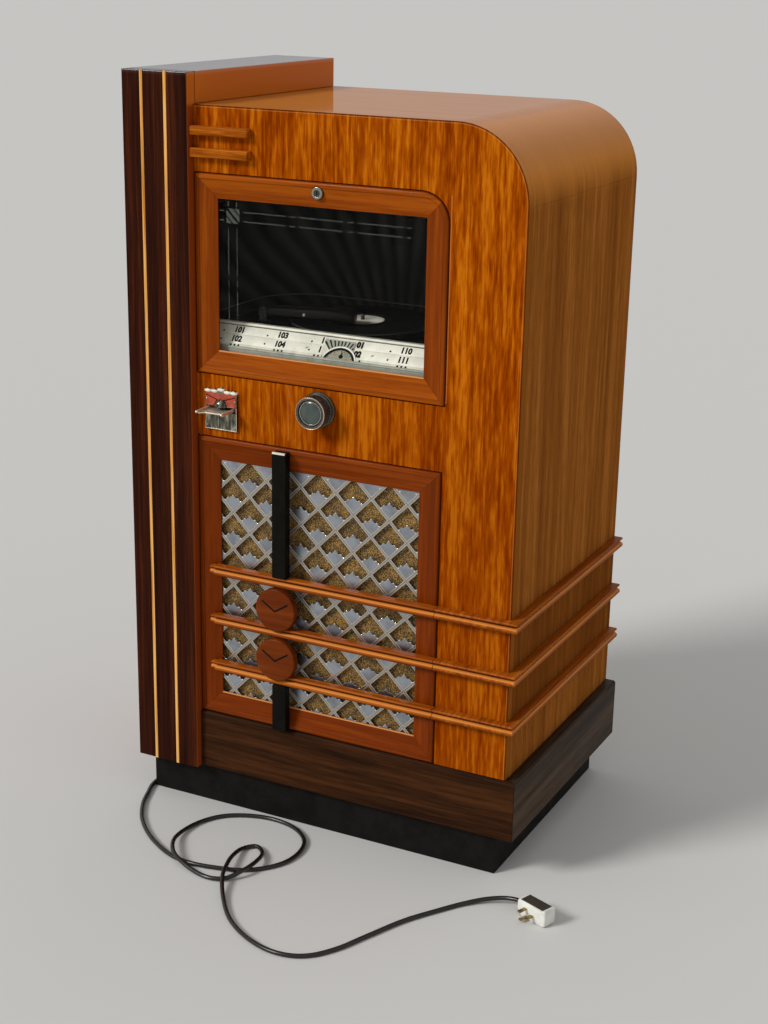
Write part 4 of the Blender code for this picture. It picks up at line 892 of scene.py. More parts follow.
VENEER = FaceVeneer(
    "ribbon_veneer", "golden_veneer", (122, 46, 1), (157, 71, 3), (194, 106, 14), streaks=165.0, stretch=0.060,
    contrast=1.25, ribbon=0.70, roughness=0.34, coat=0.0, gloss=0.0,
)
WALNUT = WrappedWalnut(
    "wrapped_walnut", "brown_walnut", (118, 66, 25), (148, 87, 33), (178, 110, 47), grain=Grain.DEPTH,
    streaks=78.0, stretch=0.03, contrast=0.85, ribbon=0.30, roughness=0.28, coat=0.0, gloss=0.0,
)
SHORT_BAR = Wood(
    "bar_wood", "red_mahogany", (112, 50, 4), (148, 73, 8), (186, 104, 22), grain=Grain.ACROSS, streaks=140.0,
    gloss=0.02,
)
WINDOW_WOOD = FrameWood(
    "window_frame_wood", "red_mahogany", (104, 41, 2), (126, 54, 3), (160, 77, 7), streaks=110.0, stretch=0.03,
    contrast=0.8, ribbon=0.15, mitre=WINDOW_MITRE, corner=0.050, sill_highlight=0.8595, lift=0.22,
)
GRILLE_WOOD = FrameWood(
    "grille_frame_wood", "red_mahogany", (92, 34, 2), (114, 45, 3), (140, 62, 8), streaks=110.0, stretch=0.03,
    contrast=0.8, ribbon=0.15, mitre=GRILLE_MITRE, sill_highlight=0.2290, lift=0.03,
)
RAIL_WOOD = RailWood(
    "rail_wood", "red_mahogany", (120, 52, 6), (150, 72, 11), (180, 98, 24), grain=Grain.ACROSS, streaks=160.0,
    stretch=0.03, contrast=1.0,
)
WRAP_RAIL_WOOD = RailWood(
    "wrap_rail_wood", "red_mahogany", (120, 52, 6), (152, 74, 12), (182, 100, 26), grain=Grain.DEPTH,
    streaks=160.0, stretch=0.03, contrast=1.0,
)
DISC_WOOD = Wood(
    "disc_wood", "red_mahogany", (88, 34, 6), (103, 43, 9), (122, 56, 14), grain=Grain.ACROSS, streaks=120.0,
    stretch=0.06, contrast=0.8,
)
PILLAR_FACE = PillarWood(
    "pillar_face", "dark_rosewood", (30, 9, 4), (50, 19, 7), (80, 34, 14), streaks=150.0, stretch=0.02,
    contrast=1.0, ribbon=0.1, roughness=0.34, coat=0.02, gloss=0.03,
)
PILLAR_CHEEK = Wood(
    "pillar_cheek", "brown_walnut", (92, 40, 14), (138, 68, 28), (172, 98, 48), streaks=110.0, stretch=0.03,
)
PILLAR_CROWN = PillarWood(
    "pillar_crown", "dark_rosewood", (30, 14, 9), (58, 28, 16), (92, 46, 26), grain=Grain.DEPTH, streaks=110.0,
    stretch=0.04, contrast=1.3, ribbon=0.0, roughness=0.24, coat=0.02, gloss=0.05, cheek=(188, 94, 16),
)
INLAY = Wood(
    "boxwood_strip", "boxwood_inlay", (178, 110, 46), (215, 152, 78), (236, 180, 104), streaks=260.0,
    stretch=0.02,
)
BASE_WOOD = Wood(
    "base_walnut_face", "base_walnut", (34, 18, 9), (52, 29, 14), (72, 41, 20), grain=Grain.ACROSS,
    streaks=90.0, stretch=0.04, contrast=1.3, ribbon=0.2, roughness=0.4, coat=0.0, gloss=0.03,
)
BASE_SIDE_WOOD = Wood(
    "base_walnut_side", "base_walnut", (42, 30, 21), (62, 46, 33), (84, 65, 48), grain=Grain.DEPTH,
    streaks=90.0, stretch=0.04, contrast=1.3, ribbon=0.2, roughness=0.4,
)
KICK_BLACK = Moulded("kick_black", "black_stained_wood", (24, 21, 19), roughness=0.6, mottle=0.3, gloss=0.08)
BAR_BLACK = Moulded("bar_black", "black_stained_wood", (19, 16, 12), roughness=0.5, mottle=0.3, gloss=0.05)
PLYWOOD = Wood(
    "plywood_board", "plywood", (132, 98, 62), (170, 132, 90), (198, 164, 122), streaks=60.0, stretch=0.04,
    contrast=1.2, ribbon=0.0, roughness=0.65, coat=0.0, gloss=0.3,
)
GLASS = EtchedGlass("etched_glass", "window_glass")
CHROME = Metal("chrome_plate", "chrome", (205, 204, 198), roughness=0.14, tarnish=0.2)
BRIGHT = Metal("bright_trim", "chrome", (226, 222, 206), roughness=0.26, tarnish=0.15)
STEEL = Metal("plain_steel", "steel", (150, 150, 148), roughness=0.34, tarnish=0.4)
SLIDE = Metal("slide_metal", "chrome", (232, 226, 208), roughness=0.5, tarnish=0.15)
PLATE = StreakedChrome("coin_plate_chrome", "chrome", (200, 196, 180), roughness=0.16)
LOCK_RING = Metal("lock_ring", "chrome", (156, 154, 146), roughness=0.18, tarnish=0.5)
LOCK_CORE = Metal("lock_core", "chrome", (86, 83, 74), roughness=0.30, tarnish=0.4)
RING = Metal("knob_ring_metal", "chrome", (104, 97, 80), roughness=0.30, tarnish=0.5)
BRASS = Metal("plug_brass", "steel", (168, 150, 100), roughness=0.3, tarnish=0.5)
NICKEL = LatticeNickel("lattice_nickel", "nickel_grille", (168, 173, 180), roughness=0.30, tarnish=0.50)
CLOTH = GoldCloth("gold_cloth", "gold_speaker_cloth")
ENAMEL = Moulded("black_enamel_skin", "black_enamel", (15, 15, 15), roughness=0.36, mottle=0.25, gloss=0.2)
KNOB_GREY = Moulded("knob_grey", "black_enamel", (82, 79, 71), roughness=0.34, mottle=0.3, cells=90.0)
KNOB_FACE = Moulded(
    "knob_face", "black_enamel", (62, 72, 67), roughness=0.22, mottle=0.25, cells=60.0, skin=0.00002, coat=0.4,
)
FLUTES = FluteEnamel("flute_enamel", "black_enamel")
BEAD_GREY = Moulded("bead_grey", "black_enamel", (104, 102, 92), roughness=0.45, mottle=0.2)
RECORD = RecordBlack("record_grooves", "record_black")
BAKELITE = Moulded(
    "arm_bakelite", "brown_bakelite", (16, 13, 12), roughness=0.36, mottle=0.3, cells=60.0, skin=0.00002,
    coat=0.04, gloss=0.10,
)
PLATTER = Metal("platter_metal", "steel", (92, 88, 78), roughness=0.4, tarnish=0.4)
KNOB_BAND = Metal("knob_band", "chrome", (114, 101, 85), roughness=0.24, tarnish=0.4)
DIAL_GREEN = Moulded("dial_green", "cream_card", (150, 145, 120), roughness=0.4, mottle=0.2, cells=90.0)
STRIP_GREY = Moulded("card_strip", "cream_card", (156, 158, 140), roughness=0.45, mottle=0.15, cells=60.0)
CREAM = Moulded("cream_card_face", "cream_card", (222, 218, 196), roughness=0.45, mottle=0.10)
CARD = Moulded("title_card", "cream_card", (236, 233, 214), roughness=0.5, mottle=0.06)
LABEL = Moulded("record_label", "cream_card", (252, 250, 228), roughness=0.55, mottle=0.14)
INK = Moulded("printing_ink", "black_enamel", (20, 18, 16), roughness=0.6, mottle=0.1, gloss=0.05)
RED = Moulded("red_enamel", "black_enamel", (178, 66, 38), roughness=0.35, mottle=0.2, cells=90.0)
WHITE_ENAMEL = Moulded("white_enamel", "white_plastic", (232, 226, 206), roughness=0.35, mottle=0.08)
PAPER = Moulded("cone_paper", "paper_cone", (70, 66, 60), roughness=0.9, mottle=0.25)
RUBBER = Moulded(
    "lead_rubber", "black_rubber", (34, 25, 23), roughness=0.30, mottle=0.3, cells=60.0, skin=0.00003,
)
PLUG_WHITE = Moulded("plug_white", "white_plastic", (232, 230, 220), roughness=0.38, mottle=0.08)
PLUG_BROWN = Moulded("plug_insert", "brown_bakelite", (62, 52, 40), roughness=0.6, mottle=0.3)


# ---------------------------------------------------------------- surfaces


@dataclass
class Skin:
    """A closed surface of quads.

    Attributes:
        points: Its points, as rows of x, y and z.
        quads: Four point numbers a face.
    """

    points: np.ndarray
    quads: np.ndarray

    @classmethod
    def grid(cls, points: np.ndarray, wrap_rows: bool = False, wrap_columns: bool = True) -> "Skin":
        """Join a grid of points into quads.

        Args:
            points: The grid, shaped (rows, columns, 3).
            wrap_rows: Whether the last row joins the first.
            wrap_columns: Whether the last column joins the first.

        Returns:
            The surface.
        """
        rows, columns = points.shape[:2]
        index = np.arange(rows * columns).reshape(rows, columns)
        if wrap_rows:
            index = np.vstack([index, index[:1]])
        if wrap_columns:
            index = np.hstack([index, index[:, :1]])
        quads = np.stack([index[:-1, :-1], index[1:, :-1], index[1:, 1:], index[:-1, 1:]], axis=-1)
        return cls(points.reshape(-1, 3), quads.reshape(-1, 4))

    @classmethod
    def lathe(cls, profile: Sequence[tuple[float, float]], steps: int = 48, teeth: int = 0, bite: float = 0.0,
              rows: tuple[int, int] = (0, 0), ring: bool = False) -> "Skin":
        """Turn a profile round the z axis.

        Each profile point (r, h) becomes a ring (r cos t, r sin t, h). On the given rows the radius is also
        multiplied by 1 - bite * (0.5 + 0.5 cos(teeth * t)), which cuts knurling.

        Args:
            profile: Radius and height of each ring, with radius 0 at both ends unless it is a closed loop.
            steps: Points round each ring.
            teeth: Number of knurls.
            bite: Depth of the knurls as a share of the radius.
            rows: First and last row that are knurled.
            ring: Whether the profile is a closed loop round a hole.

        Returns:
            The turned surface.
        """
        shape = np.array(profile)
        turn = np.arange(steps) * (2 * np.pi / steps)
        scale = np.ones((len(shape), steps))
        scale[rows[0]:rows[1]] -= bite * (0.5 + 0.5 * np.cos(teeth * turn))
        radius = shape[:, :1] * scale
        height = np.broadcast_to(shape[:, 1:], radius.shape)
        return cls.grid(np.stack([radius * np.cos(turn), radius * np.sin(turn), height], axis=-1), wrap_rows=ring)

    @classmethod
    def block(cls, low: Sequence[float], high: Sequence[float], round_by: float, steps: int = 2) -> "Skin":
        """A rounded block: the corner sign times (half size - r), plus r times a unit direction.

        The directions run over a globe with each quarter sampled at both its ends, so flat faces lie between.

        Args:
            low: Lowest corner.
            high: Highest corner.
            round_by: Radius r of its edges.
            steps: Facets across each rounded edge.

        Returns:
            The block's surface.
        """
        low, high = np.array(low, float), np.array(high, float)
        centre, core = (low + high) / 2, (high - low) / 2 - round_by
        quarter = np.arange(4).repeat(steps + 1) * 90.0 + np.tile(np.linspace(0, 90, steps + 1), 4)
        turn, side = np.radians(quarter), np.radians(np.arange(4).repeat(steps + 1) * 90.0 + 45.0)
        tilt = np.radians(np.concatenate([np.linspace(-90, 0, steps + 1), np.linspace(0, 90, steps + 1)]))
        up = np.repeat([-1.0, 1.0], steps + 1)
        flat = np.cos(tilt)[:, None]
        x = np.sign(np.cos(side)) * core[0] + round_by * flat * np.cos(turn)
        y = np.sign(np.sin(side)) * core[1] + round_by * flat * np.sin(turn)
        z = np.broadcast_to((up * core[2] + round_by * np.sin(tilt))[:, None], x.shape)
        made = cls.grid(np.stack([x, y, z], axis=-1) + centre)
        corners = np.arange(4) * (steps + 1)
        last = (2 * steps + 1) * 4 * (steps + 1)
        return cls(made.points, np.vstack([made.quads, [corners[::-1], corners + last]]))

    @classmethod
    def swept(cls, stations: Sequence[np.ndarray]) -> "Skin":
        """Join closed outlines, one after another, and close each end onto its middle.

        Args:
            stations: The outlines, each with the same number of points.

        Returns:
            The surface.
        """
        rings = np.array(stations)
        ends = [np.broadcast_to(ring.mean(axis=0), ring.shape)[None] for ring in (rings[0], rings[-1])]
        return cls.grid(np.concatenate([ends[0], rings, ends[1]]))

    def placed(self, matrix: Matrix) -> "Skin":
        """The surface moved by a matrix."""
        m = np.array(matrix)
        return Skin(self.points @ m[:3, :3].T + m[:3, 3], self.quads)


def together(skins: Sequence[Skin]) -> Skin:
    """Several surfaces as one."""
    offsets = np.cumsum([0] + [len(skin.points) for skin in skins[:-1]])
    quads = np.vstack([skin.quads + offset for skin, offset in zip(skins, offsets)])
    return Skin(np.vstack([skin.points for skin in skins]), quads)


def facing(x: float, y: float, z: float, turn: float = 0.0) -> Matrix:
    """A frame at a point with its z axis toward the front; x stays across and y points up, before turning."""
    axes = Matrix(((1, 0, 0), (0, 0, -1), (0, 1, 0))).to_4x4()
    return Matrix.Translation((x, y, z)) @ axes @ Matrix.Rotation(turn, 4, "Z")


def mesh_from(skin: Skin, name: str) -> bpy.types.Mesh:
    """Put a surface into a mesh, with its doubles merged and its faces pointing outwards.

    Args:
        skin: The surface.
        name: The mesh's name.

    Returns:
        The mesh.
    """
    mesh = bpy.data.meshes.new(name)
    mesh.from_pydata(skin.points.tolist(), [], skin.quads.tolist())
    work = bmesh.new()
    work.from_mesh(mesh)
    bmesh.ops.remove_doubles(work, verts=work.verts, dist=1e-6)
    bmesh.ops.recalc_face_normals(work, faces=work.faces)
    work.to_mesh(mesh)
    work.free()
    return mesh


def settle(
    name: str, mesh: bpy.types.Mesh, finish: Finish, body: str, instead_of: Sequence[str] = (), crease: float = 38.0
) -> bpy.types.Object:
    """Make a mesh a piece of the model.

    Args:
        name: The piece's name.
        mesh: Its mesh, already in place.
        finish: Its finish.
        body: The CAD body that it moves with.
        instead_of: CAD nodes that it stands for.
        crease: Edges sharper than this many degrees stay sharp.

    Returns:
        The piece.
    """
    mesh.materials.clear()
    mesh.materials.append(finish.material())
    mesh.shade_smooth()
    mesh.set_sharp_from_angle(angle=math.radians(crease))
    piece = bpy.data.objects.new(name, mesh)
    bpy.context.scene.collection.objects.link(piece)
    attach(piece, body)
    if instead_of:
        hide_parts(*instead_of)
    LOG.info("%s: %d faces on %s", name, len(mesh.polygons), body)
    return piece


def shape(
    name: str, skins: Skin | Sequence[Skin], finish: Finish, body: str, instead_of: Sequence[str] = (),
    crease: float = 38.0,
) -> bpy.types.Object:
    """Make a piece from one or more surfaces.

    Args:
        name: The piece's name.
        skins: The surface or surfaces, in place.
        finish: Its finish.
        body: The CAD body that it moves with.
        instead_of: CAD nodes that it stands for.
        crease: Edges sharper than this many degrees stay sharp.

    Returns:
        The piece.
    """
    skin = skins if isinstance(skins, Skin) else together(list(skins))
    return settle(name, mesh_from(skin, name), finish, body, instead_of, crease)


def lettering(words: Sequence[tuple[str, Matrix]], size: float, thick: float, bold: float = 0.012) -> bpy.types.Mesh:
    """Raised characters as one closed mesh.

    Args:
        words: Each word with the frame that it is centred in.
        size: Height of the type's line.
        thick: Half the thickness of the characters.
        bold: How far the strokes are widened, as a share of the size.

    Returns:
        The mesh, in place.
    """
    work = bmesh.new()
    for text, place in words:
        curve = bpy.data.curves.new("word", "FONT")
        curve.body, curve.size, curve.extrude, curve.offset = text, size, thick, size * bold
        curve.align_x, curve.align_y, curve.resolution_u = "CENTER", "CENTER", 3
        drawn = bpy.data.objects.new("word", curve)
        flat = bpy.data.meshes.new_from_object(drawn)
        flat.transform(place)
        work.from_mesh(flat)
        bpy.data.objects.remove(drawn)
    bmesh.ops.remove_doubles(work, verts=work.verts, dist=2e-6)
    bmesh.ops.recalc_face_normals(work, faces=work.faces)
    mesh = bpy.data.meshes.new("words")
    work.to_mesh(mesh)
    work.free()
    return mesh


def sector(
    inner: float, outer: float | np.ndarray, start: float, end: float, low: float, high: float, steps: int = 24
) -> Skin:
    """A flat sector of a ring: at each angle, a rectangle between two radii and two heights.

    Args:
        inner: Inner radius.
        outer: Outer radius, or one for each angle.
        start: First angle in degrees.
        end: Last angle in degrees.
        low: Height of its underside.
        high: Height of its top.
        steps: Number of angles.

    Returns:
        The sector's surface.
    """
    turn = np.radians(np.linspace(start, end, steps))[:, None]
    radii = [np.broadcast_to(np.asarray(r, float), (steps,)) for r in (inner, outer, outer, inner)]
    radius = np.stack(radii, axis=-1)
    height = np.broadcast_to(np.array([low, low, high, high]), (steps, 4))
    return Skin.swept(list(np.stack([np.cos(turn) * radius, np.sin(turn) * radius, height], axis=-1)))


def body_of(node: str) -> str:
    """The body that a CAD node rides on."""
    return frame["nodes"][node]["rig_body"]


def polish(node: str, finish: Finish, ease: float = 0.0006, steps: int = 2) -> bpy.types.Object:
    """Stand a copy of a CAD node in its place, with flat faces joined and its edges eased.

    Args:
        node: The CAD node.
        finish: The copy's finish.
        ease: Width of the eased edges; 0 leaves them sharp.
        steps: Facets across each eased edge.

    Returns:
        The copy.
    """
    work = bmesh.new()
    work.from_mesh(frame["nodes"][node].data)
    bmesh.ops.remove_doubles(work, verts=work.verts, dist=2e-6)
    bmesh.ops.dissolve_limit(work, angle_limit=math.radians(0.5), verts=work.verts, edges=work.edges)
    mesh = bpy.data.meshes.new(node + "_face")
    work.to_mesh(mesh)
    work.free()
    piece = settle(node + "_face", mesh, finish, body_of(node), [node])
    if ease:
        bevel = piece.modifiers.new("eased", "BEVEL")
        bevel.width, bevel.segments = ease, steps
        bevel.limit_method, bevel.angle_limit = "ANGLE", math.radians(35)
        bevel.use_clamp_overlap = False
        bevel.harden_normals = True
    return piece


def dress(finish: Finish, *nodes: str) -> None:
    """Give CAD nodes that stay in view a finish."""
    for node in nodes:
        for place in frame["nodes"][node].material_slots:
            place.material = finish.material()


# ---------------------------------------------------------------- the cabinet


@dataclass
class Pillar:
    """The tall dark pillar at the left with its two light inlays."""

    ease: float = 0.0012

    def build(self) -> None:
        """Dress the pillar."""
        polish("pillar_front", PILLAR_FACE, self.ease)
        polish("pillar_side", PILLAR_CHEEK, self.ease)
        polish("pillar_cap", PILLAR_CROWN, self.ease)
        polish("pillar_back", PILLAR_CHEEK, 0.0005)
        dress(INLAY, "pillar_inlay_left", "pillar_inlay_right")


@dataclass
class Shell:
    """The body's boards, the wrapped bend, the base and the plinth."""

    ease: float = 0.0008
    screws: tuple[tuple[float, float], ...] = (
        (0.118, 0.205), (0.118, 0.560), (0.118, 0.900), (0.118, 1.225), (0.400, 1.225), (0.400, 0.205),
        (0.697, 0.205), (0.697, 0.560), (0.697, 0.900),
    )

    def build(self) -> None:
        """Dress the shell."""
        for node in ("top_panel", "corner_bend", "side_panel"):
            polish(node, WALNUT, 0.0)
        polish("base_front", BASE_WOOD, self.ease)
        polish("base_side", BASE_SIDE_WOOD, self.ease)
        polish("toe_kick", KICK_BLACK, self.ease)
        dress(PLYWOOD, "left_wall", "back_panel", "floor_board", "baffle_board")
        self.build_screws()

    def build_screws(self) -> None:
        """Round-headed screws that hold the back panel."""
        _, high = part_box("back_panel")
        head = Skin.lathe([(0, 0.0024), (0.0022, 0.0021), (0.0038, 0.0010), (0.0042, 0.0), (0.0, -0.0005)], 16)
        back = Matrix(((-1, 0, 0), (0, 0, 1), (0, 1, 0))).to_4x4()
        heads = [head.placed(Matrix.Translation((wide(x), high.y, z)) @ back) for x, z in self.screws]
        shape("back_screws", heads, STEEL, "cabinet")


@dataclass
class Front:
    """The veneered front board, its short bars and the rails that run on round the corner."""

    def build(self) -> None:
        """Dress the front."""
        polish("front_panel", VENEER, 0.0005)
        for side in ("upper", "lower"):
            polish("short_bar_" + side, SHORT_BAR, 0.0004)
        for side in ("upper", "middle", "lower"):
            polish("body_rail_" + side, WRAP_RAIL_WOOD, 0.0003)


@dataclass
class WindowDoor:
    """The glazed door, with its lock."""

    def build(self) -> None:
        """Dress the door and its lock."""
        polish("window_frame", WINDOW_WOOD, 0.0004)
        dress(GLASS, "window_glass")
        dress(STEEL, "window_hinge_rod")
        polish("lock_body", LOCK_RING, 0.0006)
        polish("lock_plug", LOCK_CORE, 0.0002)


@dataclass
class GrilleDoor:
    """The lattice door with its cloth, rails, clock discs and black bars."""

    cloth_y: float = 0.0325
    disc_heights: tuple[float, float] = (0.4173, 0.3245)
    disc_face: tuple[float, float] = (0.2948, -0.005)
    hand: tuple[float, float] = (0.0298, 0.0017)

    def build(self) -> None:
        """Dress the door."""
        polish("grille_frame", GRILLE_WOOD, 0.0004)
        dress(STEEL, "grille_hinge_rod")
        polish("grille_sheet", NICKEL, 0.0004, 1)
        for side in ("upper", "middle", "lower"):
            polish("door_rail_" + side, RAIL_WOOD, 0.0003)
        for side in ("upper", "lower"):
            polish("clock_disc_" + side, DISC_WOOD, 0.0004)
            polish("black_bar_" + side, BAR_BLACK, 0.0004)
        self.build_cloth()
        self.build_hands()
        self.build_caps()

    def build_hands(self) -> None:
        """Dark strips laid in the discs' grooves like the hands of a clock, rising 32.6 degrees to either side."""
        length, half = self.hand
        bar = Skin.block((0.0, -half, -0.0016), (length, half, 0.0001), 0.0002)
        x, y = wide(self.disc_face[0]), deep(self.disc_face[1])
        leans = [math.atan2(0.016, side * 0.025) for side in (-1, 1)]
        strips = [bar.placed(facing(x, y, z, lean)) for z in self.disc_heights for lean in leans]
        shape("disc_hands", strips, INK, "grille_door")

    def build_caps(self) -> None:
        """A pale cap at the head of the upper bar, a rounded block that stands a little proud of it."""
        low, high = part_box("black_bar_upper")
        proud = 0.0004
        near = (low.x + 0.0010, low.y - proud, high.z - 0.0030)
        far = (high.x - 0.0016, low.y + 0.0040, high.z + proud)
        shape("bar_cap", Skin.block(near, far, 0.0006), WHITE_ENAMEL, "grille_door")

    def build_cloth(self) -> None:
        """The speaker cloth, stretched flat behind the lattice: a plane with a thread-deep ripple."""
        low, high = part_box("speaker_cloth")
        x = np.linspace(low.x, high.x, 60)
        z = np.linspace(low.z, high.z, 66)
        u, v = np.meshgrid(x, z)
        sag = 0.0001 * np.sin(u * 90.0) * np.sin(v * 80.0)
        front = np.stack([u, np.full_like(u, deep(self.cloth_y) + 0.0002) + sag, v], axis=-1)
        skin = Skin.grid(front, wrap_columns=False)
        piece = shape("woven_speaker_cloth", skin, CLOTH, "grille_door", ["speaker_cloth"])


# ---------------------------------------------------------------- the record compartment


@dataclass
class Deck:
    """The deck board, the fluted backdrop, the platter and the record."""

    record_top: float = 0.9013
    record_low: float = 0.8993
    wall_front: float = 0.100
    wall_foot: float = 0.8843
    ceiling: float = 1.2497
    inner_bend: float = 0.1044
    flute_depth: float = 0.0030
    wall_back: float = -0.002
    bead_z: float = 0.9050
    bead_out: float = 0.0032
    bead_radius: float = 0.0010

    def build(self) -> None:
        """Build the compartment."""
        dress(ENAMEL, "deck_board")
        dress(STEEL, "motor")
        polish("turntable_platter", PLATTER, 0.0003)
        self.build_record()
        self.build_backdrop()
        self.build_bead()

    def build_record(self) -> None:
        """A 10 inch record: bead, grooves and label land, with a card label and the spindle through it."""
        top, low = self.record_top, self.record_low
        base = Matrix.Translation((wide(SPINDLE[0]), deep(SPINDLE[1]), 0))
        profile = [(0.0038, low), (0.1240, low), (0.1262, low + 0.0003), (0.1270, low + 0.0010),
                   (0.1262, top - 0.0001), (0.1250, top), (0.1238, top - 0.0003), (0.0640, top - 0.0003),
                   (0.0632, top - 0.0005), (0.0520, top - 0.0005), (0.0512, top - 0.0003), (0.0420, top - 0.0003),
                   (0.0405, top - 0.0001), (0.0038, top - 0.0001)]
        shape("pressed_record", Skin.lathe(profile, 160, ring=True).placed(base), RECORD, "turntable", ["record"])
        label = [(0.0038, top - 0.0001), (0.0380, top - 0.0001), (0.0382, top + 0.0001), (0.0378, top + 0.0003),
                 (0.0334, top + 0.0003), (0.0330, top + 0.0002), (0.0038, top + 0.0003)]
        shape("record_label", Skin.lathe(label, 96, ring=True).placed(base), LABEL, "turntable")

    def wall(self) -> tuple[np.ndarray, np.ndarray, np.ndarray]:
        """The backdrop's line on the deck: back along the left, across the rear and forward along the right.

        Its two bends are quarter circles, so with a and b the angles turned in each, a point lies bend (1 - cos a)
        in from the left and bend sin a further back, and so on along the line.

        Returns:
            Its points (x, y), its normals toward the middle, and each point's place along the wall laid flat.
        """
        straight, arc = WALL_REAR - WALL_BEND - self.wall_front, WALL_BEND * np.pi / 2
        rear = WALL_RIGHT - WALL_LEFT - 2 * WALL_BEND
        first, second = straight + arc, straight + arc + rear
        run = np.linspace(0.0, 2 * straight + 2 * arc + rear, 620)
        a = np.clip((run - straight) / WALL_BEND, 0, np.pi / 2)
        b = np.clip((run - second) / WALL_BEND, 0, np.pi / 2)
        x = WALL_LEFT + WALL_BEND * (1 - np.cos(a)) + np.clip(run - first, 0, rear) + WALL_BEND * np.sin(b)
        back = self.wall_front + np.clip(run, 0, straight) + WALL_BEND * np.sin(a)
        y = back - WALL_BEND * (1 - np.cos(b)) - np.clip(run - second - arc, 0, None)
        normal = np.stack([np.cos(a + b), -np.sin(a + b)], axis=-1)
        return np.stack([x + LEFT, y + FACE], axis=-1), normal, run - first + WALL_LEFT + WALL_BEND

    def build_backdrop(self) -> None:
        """The backdrop: a wall bent round both rear corners, with flutes fanning up from below the deck.

        Its height runs from the deck to the shell's underside. Each point is pushed forward by depth times
        (0.5 + 0.5 cos(360 (a - phase) / step)), with a its angle from upright round the fan's centre.
        """
        line, normal, flat = self.wall()
        over = np.clip(line[:, 0] - LEFT - BEND_X, 0, self.inner_bend)
        high = np.minimum(self.ceiling, BEND_Z + np.sqrt(self.inner_bend ** 2 - over ** 2))
        share = np.linspace(0, 1, 60)[:, None]
        z = self.wall_foot + share * (high - self.wall_foot)
        fan = np.degrees(np.arctan2(FAN[0] - flat[None, :], z - FAN[1]))
        ease = np.clip((0.999 - share) / 0.02, 0, 1)
        push = self.flute_depth * ease * (0.5 + 0.5 * np.cos((fan - FLUTE_PHASE) * 2 * np.pi / FLUTE_STEP))
        face, back = (
            np.concatenate([line + normal * out[..., None], z[..., None]], axis=-1)
            for out in (push, np.full_like(push, self.wall_back))
        )
        rims = [np.concatenate([half, half[::-1]])[None] for half in ((face[i] + back[i]) / 2 for i in (0, -1))]
        loop = np.concatenate([rims[0], np.concatenate([face, back[:, ::-1]], axis=1), rims[1]])
        shape("fluted_backdrop", Skin.grid(loop), FLUTES, "cabinet", ["backdrop"], crease=60)

    def build_bead(self) -> None:
        """A thin pale bead along the wall near its foot: a circle carried along the wall's line."""
        line, normal, _ = self.wall()
        turn = np.linspace(0, 2 * np.pi, 8, endpoint=False)[None, :, None]
        centre = np.column_stack([line, np.full(len(line), self.bead_z)])[::5, None]
        out = np.column_stack([normal, np.zeros(len(line))])[::5, None]
        out = out * (self.bead_out + self.bead_radius * np.cos(turn))
        up = np.array([0.0, 0.0, self.bead_radius]) * np.sin(turn)
        shape("backdrop_bead", Skin.swept(list(centre + out + up)), BEAD_GREY, "cabinet")


